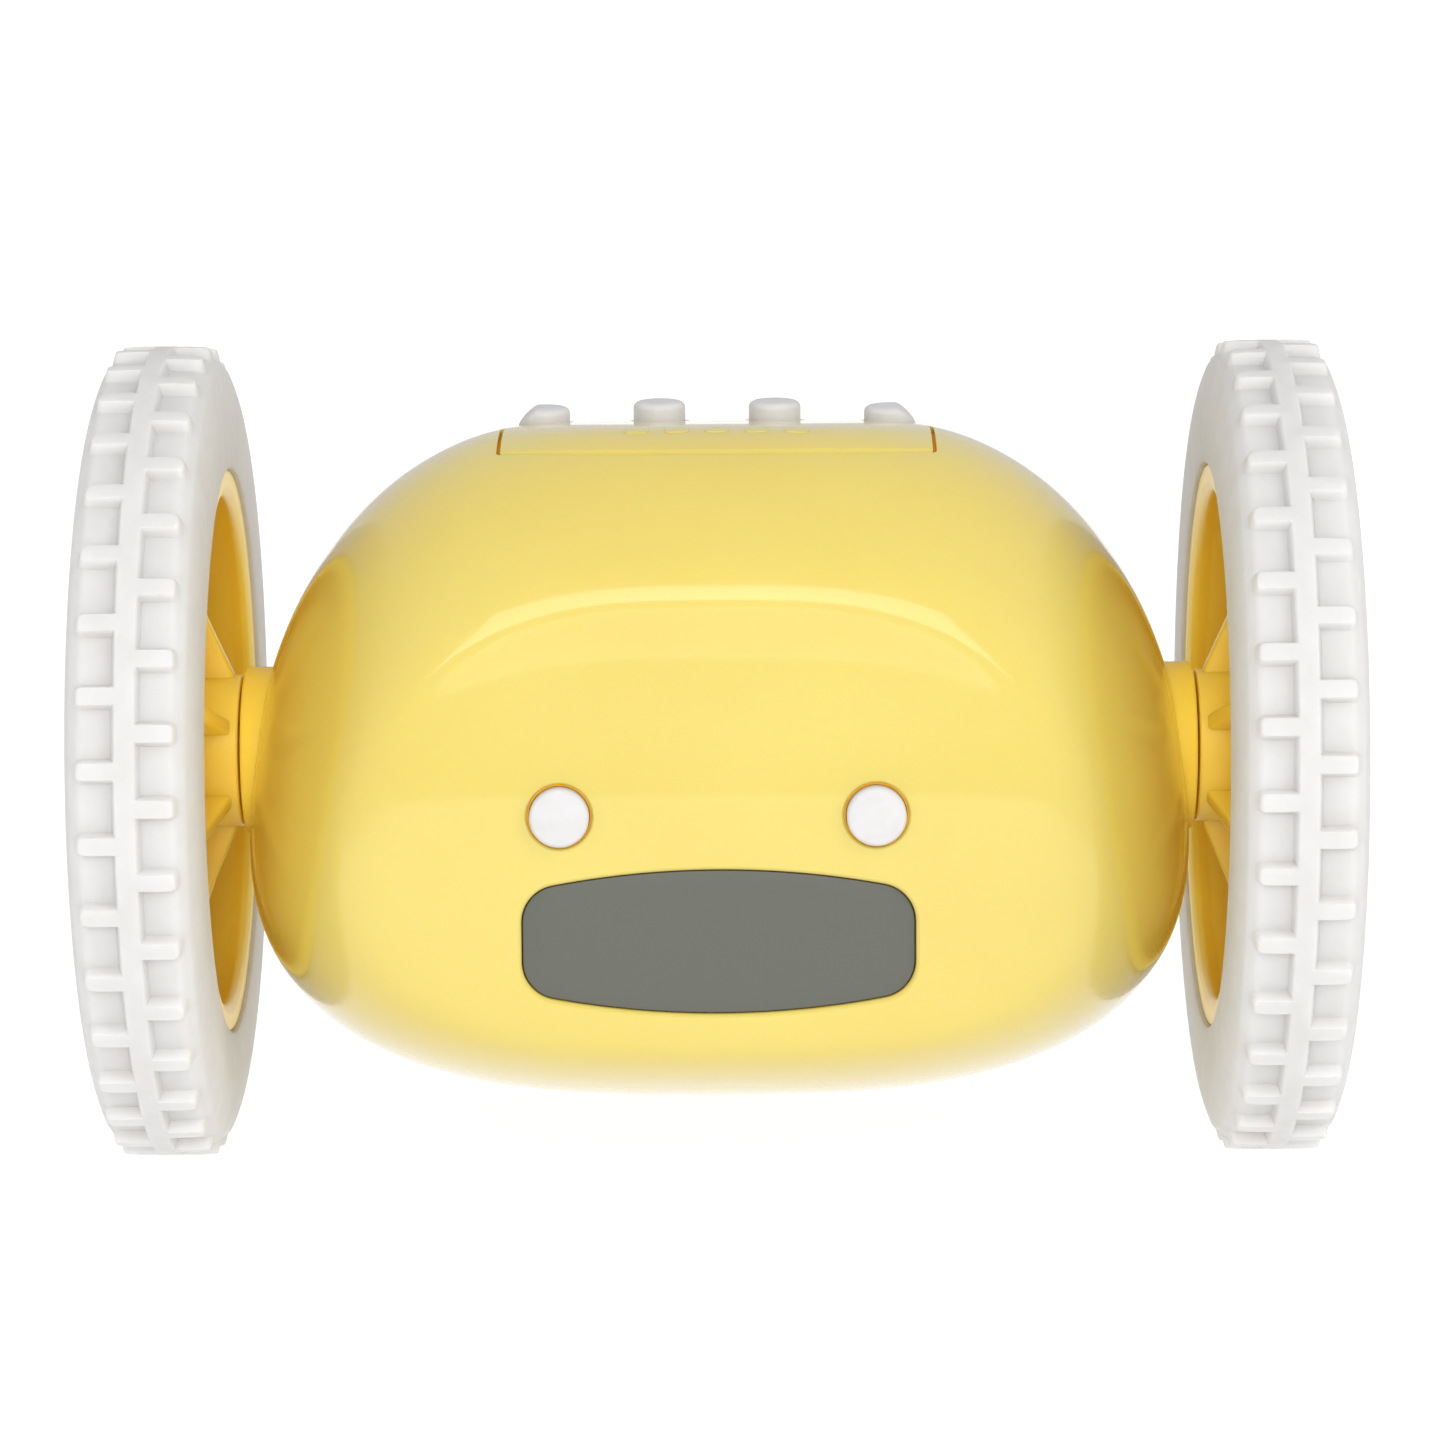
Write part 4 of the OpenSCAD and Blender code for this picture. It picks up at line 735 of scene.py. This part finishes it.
def make_front_shell():
    around, outer, inner = 288, 84, 44
    inside = skin_depths(WALL, -SEAM_Y, inner)
    rings = [(-y, 0) for y in skin_depths(0, -SEAM_Y + 0.25, outer)]
    rings += [(SEAM_Y - 0.08, 0.06), (SEAM_Y, 0.25)]
    step = (WALL + TONGUE_GAP) / 2
    rings += [(SEAM_Y, step), (SEAM_Y + TONGUE, step), (SEAM_Y + TONGUE, WALL)]
    rings += [(-inside[inner - i], WALL) for i in range(1, inner + 1)]
    shell = skin("front_shell_smooth", rings, (-BODY_REACH, 0), (WALL - BODY_REACH, WALL), around)
    tools = [
        mouth("window_cut", window_outline, OUT_FRONT, 0.55, 7),
        mouth("snooze_cut", lambda grow: snooze_outline(grow + SNOOZE_GAP), OUT_TOP, 0.1, 7),
        rod_x("collar_cut", COLLAR_R + COLLAR_GAP, -WHEEL_X, WHEEL_X)]
    tools += [mouth("eye_cut", disc(EYE_R + BUTTON_GAP), eye_at(s), 0.35, 5) for s in (-1, 1)]
    tools += [mouth("key_cut", disc(KEY_R + BUTTON_GAP), key_at(i), 0.35, 6) for i in range(4)]
    boolean(shell, joined("front_cuts", tools))
    true_normals(shell)
    place(shell, "root", "body_plastic", "front_shell")


def make_ledges():
    """Floors of the narrow gaps round the eyes and at the snooze bar's ends, in a deeper orange that is
    painted shade and bounced light of the gaps.
    """
    ledges = []
    for side in (-1, 1):
        start, end = EYE_R + LEDGE_GAP, EYE_R + LEDGE_GAP + LEDGE_T
        low, high = -LEDGE_SET - LEDGE_T, -LEDGE_SET
        corners = [(start, low), (end, low), (end, high), (start, high)]
        ledges.append(revolve("eye_ledge", corners, "raw_plastic_gap_shade", matrix=eye_at(side), closed=True))
        middle = (side * (SNOOZE_W / 2 + LEDGE_GAP + SLIT_W / 2), SLIT_Y)
        outline = shift(box_outline(SLIT_W, SLIT_LEN, 0.1, 0.5), *middle)
        ledges.append(plug(
            "slit_ledge", outline, OUT_TOP, 0.02, LEDGE_T, rings=4, drop=LEDGE_SET, centre=middle))
    place(joined("gap_ledges", ledges), "root", "body_plastic")


def door_outline(grow):
    """The battery door from behind, grown by a gap on its whole width and height."""
    box = box_outline(DOOR_W + grow, DOOR_TOP - DOOR_BOTTOM + grow, DOOR_CORNER)
    return shift(box, 0, DOOR_MID)


def make_rear_shell():
    around, outer, inner = 288, 60, 36
    rebate = SEAM_Y + TONGUE + TONGUE_GAP
    inside = skin_depths(WALL, rebate, inner)
    rings = [(y, 0) for y in skin_depths(0, SEAM_Y + 0.3, outer)]
    step = (WALL - TONGUE_GAP) / 2
    rings += [(SEAM_Y + 0.1, 0.06), (SEAM_Y, 0.25), (SEAM_Y, step), (rebate, step)]
    rings += [(inside[inner - 1 - i], WALL) for i in range(inner)]
    shell = skin("rear_shell_smooth", rings, (BODY_REACH, 0), (BODY_REACH - WALL, WALL), around)
    tools = [
        mouth("door_cut", door_outline(DOOR_GAP), OUT_DOOR, 0.3, 8),
        rod_x("collar_cut", COLLAR_R + COLLAR_GAP, -WHEEL_X, WHEEL_X)]
    for ring in range(3):
        for i in range(max(1, 6 * ring)):
            a = math.radians(i * 60 / max(1, ring))
            out = ring * HOLE_PITCH
            spot = shift(disc(HOLE_R, 24), out * math.cos(a), -SPEAKER_Z + out * math.sin(a))
            tools.append(mouth("sound_cut", spot, OUT_DOOR, 0.25, 6))
    for x in (-BOSS_X, BOSS_X):
        for z in BOSS_HEIGHTS:
            tools.append(mouth("screw_cut", shift(disc(2.3, 40), x, -z), OUT_SCREW, 0.3, 8))
    boolean(shell, joined("rear_cuts", tools))
    true_normals(shell)
    place(shell, "root", "body_plastic", "rear_shell")


def make_door():
    door = plug(
        "battery_door_smooth", door_outline(-DOOR_GAP), OUT_DOOR, 0.35, 2.0, rings=24, centre=(0, DOOR_MID))
    boolean(door, mouth("door_screw_cut", shift(disc(1.9, 40), 0, -DOOR_SCREW_Z), OUT_DOOR, 0.25, 1.6))
    true_normals(door)
    place(door, "root", "body_plastic", "battery_door")


def make_snooze():
    bar = plug(
        "snooze_bar_smooth", snooze_outline, OUT_TOP, 0.1, 2.1, rings=32, centre=(0, SNOOZE_MID), bias=1.8,
        roll=snooze_roll)
    true_normals(bar)
    marks = []
    for i in range(MARK_COUNT):
        spot = ((i - (MARK_COUNT - 1) / 2) * MARK_PITCH, MARK_Y)
        outline = shift(box_outline(MARK_W, MARK_DEPTH, 0.6, 0.3), *spot)
        marks.append(plug("mark", outline, OUT_TOP, 0.1, 0.5, rings=5, drop=-MARK_RISE, centre=spot))
    place(bar, "snooze", "body_plastic", "snooze_bar")
    place(joined("snooze_marks", marks), "snooze", "body_plastic")


def slope_outwards(cap, side, middle, low, level):
    """Bends the outer half of an outer cap's top down, to follow the body's shoulder."""
    for vertex in cap.data.vertices:
        out = side * (vertex.co.x / MM - middle.x) / KEY_R
        high = (vertex.co.z / MM - middle.z - low) / (level - low)
        share = max(0, (out - SLOPE_FROM) / (1 - SLOPE_FROM))
        vertex.co.z -= KEY_SLOPE * MM * share**SLOPE_POWER * max(0, high) ** 2


def make_buttons():
    for side, name in ((-1, "left"), (1, "right")):
        level = EYE_PROUD
        outline = rounded_path([
            (0, -LENS_BACK, 0), (EYE_R, -LENS_BACK, 0), (EYE_R, level, 0.5),
            (EYE_R * 0.55, level + 0.12, 2), (0, level + 0.14, 0)], closed=False)
        cap = revolve("eye_cap_" + name, outline, "button_plastic", 96, eye_at(side))
        place(cap, "eye_" + name, "button_plastic", "eye_button_" + name)
    for i in range(4):
        low = -4.0
        level = KEY_DROP + KEY_PROUD - (KEY_STEP if i in (0, 3) else 0)
        outline = rounded_path([
            (0, low, 0), (KEY_R, low, 0), (KEY_R, level - 0.05, 0.7),
            (KEY_R * 0.5, level + 0.1, 3), (0, level + 0.12, 0)], closed=False)
        cap = revolve(f"top_cap_{i + 1}", outline, "button_plastic", 96, key_at(i))
        if i in (0, 3):
            slope_outwards(cap, math.copysign(1, i - 1.5), key_at(i).translation, low, level)
        place(cap, f"top_key_{i + 1}", "button_plastic", f"top_button_{i + 1}")


def make_display():
    lens = plug(
        "display_lens_smooth", lambda grow: window_outline(grow - 0.1), OUT_FRONT, 0.15,
        LENS_BACK - LENS_RECESS, rings=6, flat=-LENS_RECESS)
    lens.data.materials[0] = FINISH["lens"]
    place(lens, "root", "lens", "display_lens")


# ---- wheels ----


def tyre_half(r):
    bulge = RIM_R + BULGE_RISE
    above = TYRE_W / 2 - (TYRE_W - TREAD_W) / 2 * np.maximum(0, (r - bulge) / (WHEEL_R - bulge)) ** SIDE_POWER
    below = TYRE_W / 2 - BULGE_IN * np.maximum(0, (bulge - r) / BULGE_RISE) ** 2
    return np.where(r > bulge, above, below)


def tread_mask(arc, x):
    """1 on the tread's band and ribs, 0 in its pockets, with soft edges; arc runs round the tyre."""
    pitch = 2 * math.pi * WHEEL_R / RIB_COUNT

    def rib(turn, side):
        a = (arc - turn + pitch / 2) % pitch - pitch / 2
        da = np.abs(a) - (RIB_T / 2 - TREAD_CORNER)
        dx = np.where(x * side > 0, np.abs(x), 0) - (RIB_REACH - TREAD_CORNER)
        d = np.hypot(np.maximum(da, 0), np.maximum(dx, 0)) + np.minimum(np.maximum(da, dx), 0) - TREAD_CORNER
        return np.where(x * side < 0, 9, d)

    d = np.minimum(np.abs(x) - BAND_W / 2, np.minimum(rib(0, 1), rib(pitch / 2, -1)))
    share = np.clip(0.5 - d / TREAD_EDGE, 0, 1)
    return share**2 * (3 - 2 * share)


def make_tyre(side, name):
    pitch = 2 * math.pi * WHEEL_R / RIB_COUNT
    edges = [RIB_T / 2, pitch / 2 - RIB_T / 2, pitch / 2 + RIB_T / 2, pitch - RIB_T / 2]
    steps = (-0.45, -0.24, -0.12, 0, 0.12, 0.24, 0.45)
    arcs = {0.0, pitch / 4, pitch / 2, 3 * pitch / 4, pitch}
    arcs = np.array(sorted(arcs | {edge + step for edge in edges for step in steps}))
    floor_r = WHEEL_R - TREAD_DEPTH
    edge_x = float(tyre_half(np.array(floor_r)))
    across = [0, 0.6, 0.95, 1.1, 1.22, 1.34, 1.5, 2.1, 2.9, 3.7, 4.3, 4.6, 4.75, 4.88, 5.0, 5.12, 5.24, 5.36]
    half = [(x, floor_r - 0.55 * max(0, (x - 4.2) / (edge_x - 4.2)) ** 2.4) for x in across]
    low_r = half[-1][1]
    for r in np.linspace(low_r - 0.35, RIM_R + 0.5, 16):
        half.append((float(tyre_half(np.array(r))), r))
    last_x = half[-1][0]
    half += [(last_x - 0.12, RIM_R + 0.12), (last_x - 0.5, RIM_R), (2.4, RIM_R)]
    profile = [(-x, r) for x, r in half[::-1]] + half[1:]
    xs, rs = np.array([p[0] for p in profile]), np.array([p[1] for p in profile])
    on_tread = (np.abs(xs) < 5.4) & (rs > RIM_R + 5)
    mask = tread_mask(arcs[:, None], xs[None, :]) * on_tread
    crown = WHEEL_R - CROWN_DROP * np.maximum(0, (np.abs(xs) - CROWN_FROM) / CROWN_W) ** 2
    radius = rs[None, :] + (crown - rs)[None, :] * mask
    angle = arcs / pitch * 2 * math.pi / RIB_COUNT
    points = np.stack([
        np.broadcast_to(side * (WHEEL_X + xs)[None, :], radius.shape),
        -radius * np.sin(angle)[:, None], radius * np.cos(angle)[:, None]], -1).reshape(-1, 3)
    faces = grid_faces(len(arcs), len(xs), wrap_columns=False)
    tyre = new_object(f"tyre_{name}_smooth", points, faces, "tyre_silicone")
    repeat_round(tyre, RIB_COUNT, "tyre_silicone", TYRE_SHARP, 1e-6)
    tidy_mesh(tyre.data, 2e-6)
    smooth(tyre.data, TYRE_SHARP)
    place(tyre, "wheel_" + name, "tyre_silicone", "tyre_" + name)


def make_rim(side, name):
    barrel = RIM_R - BARREL_T
    turn = Matrix.Rotation(side * math.pi / 2, 4, "Y")
    outline = rounded_path([
        (AXLE_R, HUB_X, 0), (HUB_R, HUB_X, 0.35), (HUB_R, DISC_X, 0.8), (barrel, DISC_X, 1.2),
        (barrel, LIP_IN + 2.2, 1.0), (RIM_R - LIP_W - 0.1, LIP_IN + 0.6, 0.7),
        (RIM_R - LIP_W * 0.6, LIP_IN, 0.9), (RIM_R, LIP_IN, 0.4),
        (RIM_R, WHEEL_X, 0), (RIM_R, LIP_OUT, 0.4), (RIM_R - LIP_W * 0.6, LIP_OUT, 0.9),
        (RIM_R - LIP_W - 0.1, LIP_OUT - 0.6, 0.7), (barrel, SEAT_X, 1.4), (CAP_R + CAP_WALL, SEAT_X, 0.6),
        (CAP_R + CAP_WALL, LIP_OUT - 0.8, 0.3), (CAP_R + 0.1, LIP_OUT - 0.8, 0.2),
        (CAP_R + 0.1, SEAT_X, 0), (AXLE_R, SEAT_X, 0)])
    rim = revolve("rim", outline, "rim_plastic", 240, turn, closed=True)
    hollow = rounded_path([
        (0, SEAT_X - 0.9, 0), (4.6, SEAT_X - 0.9, 0.6), (4.6, SEAT_X, 0), (5.2, SEAT_X + 0.5, 0),
        (5.2, SEAT_X + 4, 0), (0, SEAT_X + 4, 0)], closed=False)
    spot = Matrix.Rotation(math.radians(30), 4, "X") @ Matrix.Translation((0, 0, 18)) @ turn
    dimple = revolve("dimple", hollow, "rim_plastic", 64, spot)
    repeat_round(dimple, WEB_COUNT, "rim_plastic")
    boolean(rim, dimple)
    web = new_object("web", *web_mesh(side), "rim_plastic")
    bevel = web.modifiers.new("soft", "BEVEL")
    bevel.width, bevel.segments = 0.45 * MM, 3
    bevel.limit_method, bevel.angle_limit = "ANGLE", math.radians(25)
    bake(web)
    repeat_round(web, WEB_COUNT, "rim_plastic")
    whole = joined(f"wheel_rim_{name}_smooth", [rim, web])
    smooth(whole.data, SHARP)
    place(whole, "wheel_" + name, "body_plastic", "wheel_rim_" + name)


def web_mesh(side):
    """Points and faces of one tall triangular web between the hub and the barrel."""
    near, far, barrel = HUB_X + LIP_SET / 2, HUB_X + LIP_SET + DISC_SET, RIM_R - BARREL_T
    outline = [
        (near, HUB_R - 1), (near + 0.1, HUB_R + 0.2), (HUB_X + 3.6, HUB_R + 6.3), (far - 0.6, barrel),
        (far + 1, barrel + 0.5), (far + 1, HUB_R - 1)]
    points = [(side * x, s * WEB_T / 2, z) for s in (-1, 1) for x, z in outline]
    n = len(outline)
    faces = [list(range(n)), list(range(n, 2 * n))]
    faces += [[i, (i + 1) % n, n + (i + 1) % n, n + i] for i in range(n)]
    return points, faces


def make_hub_parts(side, name):
    turn = Matrix.Rotation(side * math.pi / 2, 4, "Y")
    top = LIP_OUT - 0.3
    cap = rounded_path([
        (0, top, 0), (3.2, top, 0.8), (3.6, top - 0.35, 0.8), (5.4, top - 0.35, 0.6), (5.8, top, 0.5),
        (CAP_R, top - 0.05, 0.5), (CAP_R, SEAT_X, 0),
        (CAP_R - CAP_WALL, SEAT_X, 0), (CAP_R - CAP_WALL, top - 1.4, 0), (0, top - 1.4, 0)], closed=False)
    cap = revolve(f"hub_cap_{name}_smooth", cap, "rim_plastic", 128, turn)
    place(cap, "wheel_" + name, "body_plastic", "hub_cap_" + name)
    collar = rounded_path([
        (AXLE_R + 0.05, 39, 0), (COLLAR_R + 1.8, 39, 0), (COLLAR_R + 1.8, 41, 0), (COLLAR_R, 41, 0),
        (COLLAR_R, HUB_X - HUB_GAP, 0.4), (AXLE_R + 0.05, HUB_X - HUB_GAP, 0)])
    collar = revolve(f"collar_{name}_smooth", collar, "rim_plastic", 160, turn, closed=True)
    place(collar, "root", "body_plastic", "axle_collar_" + name)


BOX_FACES = [[0, 1, 3, 2], [4, 6, 7, 5], [0, 4, 5, 1], [2, 3, 7, 6], [0, 2, 6, 4], [1, 5, 7, 3]]


def make_screws():
    """Pan-head screws with a cross recess, in place of the plain CAD ones."""
    heads = []
    for x in (-BOSS_X, BOSS_X):
        for z in BOSS_HEIGHTS:
            spot = OUT_REAR @ Matrix.Translation((x, -z, 0))
            shape = rounded_path([
                (0, -7, 0), (1.25, -7, 0.3), (1.25, 12, 0), (2.2, 12, 0.1), (2.2, 12.9, 0.5), (1.4, 13.55, 1),
                (0, 13.6, 0)], closed=False)
            screw = revolve("screw", shape, "steel", 48, spot)
            arms = []
            for turned in (0, 90):
                cross = spot @ Matrix.Rotation(math.radians(turned + 20), 4, "Z")
                cross = cross @ Matrix.Translation((0, 0, 13.2))
                wide = [(sx * 1.15, sy * 0.26, sz) for sx in (-1, 1) for sy in (-1, 1) for sz in (-0.45, 1)]
                arms.append(new_object("arm", moved(wide, cross), BOX_FACES, "steel"))
            for arm in arms:
                boolean(screw, arm)
            heads.append(screw)
    whole = joined("shell_screws_smooth", heads)
    smooth(whole.data, SHARP)
    place(whole, "root", "steel", "shell_screws")


NODE_FINISH = {
    "display": ["lcd_glass"],
    "diffuser": ["backlight"],
    "black_plastic": [
        "lcd_holder", "board_chips", "eye_switches", "top_switches", "battery_box", "speaker_cone"],
    "circuit_board": ["main_board", "top_board"],
    "steel": [
        "door_screw", "board_screws", "battery_springs", "battery_plates", "speaker_frame", "motor_left",
        "motor_right", "gearbox_screws", "gear_pin_left", "gear_pin_right", "wheel_axle_left",
        "wheel_axle_right", "wheel_screw_left", "wheel_screw_right"],
    "lead_insulation": ["motor_leads"],
    "ribbon": ["board_ribbon"],
    "cell_jacket": ["battery_cells"],
    "magnet": ["speaker_magnet"],
    "frame_plastic": [
        "motor_cradle", "inner_plate_left", "inner_plate_right", "outer_plate_left", "outer_plate_right"],
    "brass": ["motor_pinion_left", "motor_pinion_right"],
    "gear_plastic": ["idler_gear_left", "idler_gear_right", "drive_gear_left", "drive_gear_right"],
}


def finish_nodes():
    for finish, names in NODE_FINISH.items():
        for name in names:
            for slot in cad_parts[name].material_slots:
                slot.material = FINISH[finish]


# ---- floor, camera and light ----

FLOOR_HALF = 3000
AZIMUTH, ELEVATION, ROLL = math.radians(0.3), math.radians(12.5), math.radians(-0.4)
AIM, DISTANCE = (0.4, 0, 2.8), 555.6
LENS_MM, SENSOR_MM = 125.7, 36
WORLD_STRENGTH = 0.66
# name, place and size in metres, watts, seen in reflections
LIGHTS = [
    ("front", (0, -1.5, 0.75), (1.3, 0.75), 5, True),
    ("gaps", (0, -1.5, 0.45), (0.25, 0.9), 9.5, False),
    ("left", (-1.2, -0.8, 0.9), (0.6, 1.2), 2, False),
    ("right", (1.2, -0.8, 0.9), (0.6, 1.2), 8, False),
]


def make_floor():
    corners = [(x * FLOOR_HALF, y * FLOOR_HALF, -WHEEL_R) for x, y in ((-1, -1), (1, -1), (1, 1), (-1, 1))]
    floor = new_object("floor", corners, [[0, 1, 2, 3]])
    glow = {"Emission_Color": (1, 1, 1, 1), "Emission_Strength": 0.91}
    pale = Finish("pale_floor", srgb(116, 116, 117), 0.65, **glow)
    pale.wear(pale.noise(0.02, 3), 0.05)
    floor.data.materials[0] = pale.material


def make_camera():
    level = math.cos(ELEVATION)
    out = Vector((math.sin(AZIMUTH) * level, -math.cos(AZIMUTH) * level, math.sin(ELEVATION)))
    data = bpy.data.cameras.new("camera")
    data.lens, data.sensor_width, data.clip_start, data.clip_end = LENS_MM, SENSOR_MM, 0.01, 20
    camera = bpy.data.objects.new("camera", data)
    turn = out.to_track_quat("Z", "Y").to_matrix().to_4x4() @ Matrix.Rotation(ROLL, 4, "Z")
    camera.matrix_world = Matrix.Translation((Vector(AIM) + out * DISTANCE) * MM) @ turn
    bpy.context.scene.collection.objects.link(camera)
    bpy.context.scene.camera = camera


def soft_light(name, at, size, watts, mirrored):
    data = bpy.data.lights.new(name, "AREA")
    data.shape, data.size, data.size_y, data.energy = "RECTANGLE", size[0], size[1], watts
    light = bpy.data.objects.new(name, data)
    at = Vector(at)
    light.matrix_world = Matrix.Translation(at) @ at.to_track_quat("Z", "Y").to_matrix().to_4x4()
    light.visible_glossy = mirrored
    bpy.context.scene.collection.objects.link(light)


def make_light():
    world = bpy.data.worlds.new("studio")
    bpy.context.scene.world = world
    world.use_nodes = True
    back = world.node_tree.nodes["Background"]
    back.inputs["Color"].default_value = (1, 1, 1, 1)
    back.inputs["Strength"].default_value = WORLD_STRENGTH
    for light in LIGHTS:
        soft_light(*light)
    bpy.context.scene.view_settings.view_transform = "Standard"


make_front_shell()
make_ledges()
make_rear_shell()
make_door()
make_snooze()
make_buttons()
make_display()
for side, name in ((-1, "left"), (1, "right")):
    make_tyre(side, name)
    make_rim(side, name)
    make_hub_parts(side, name)
make_screws()
finish_nodes()
make_floor()
make_camera()
make_light()
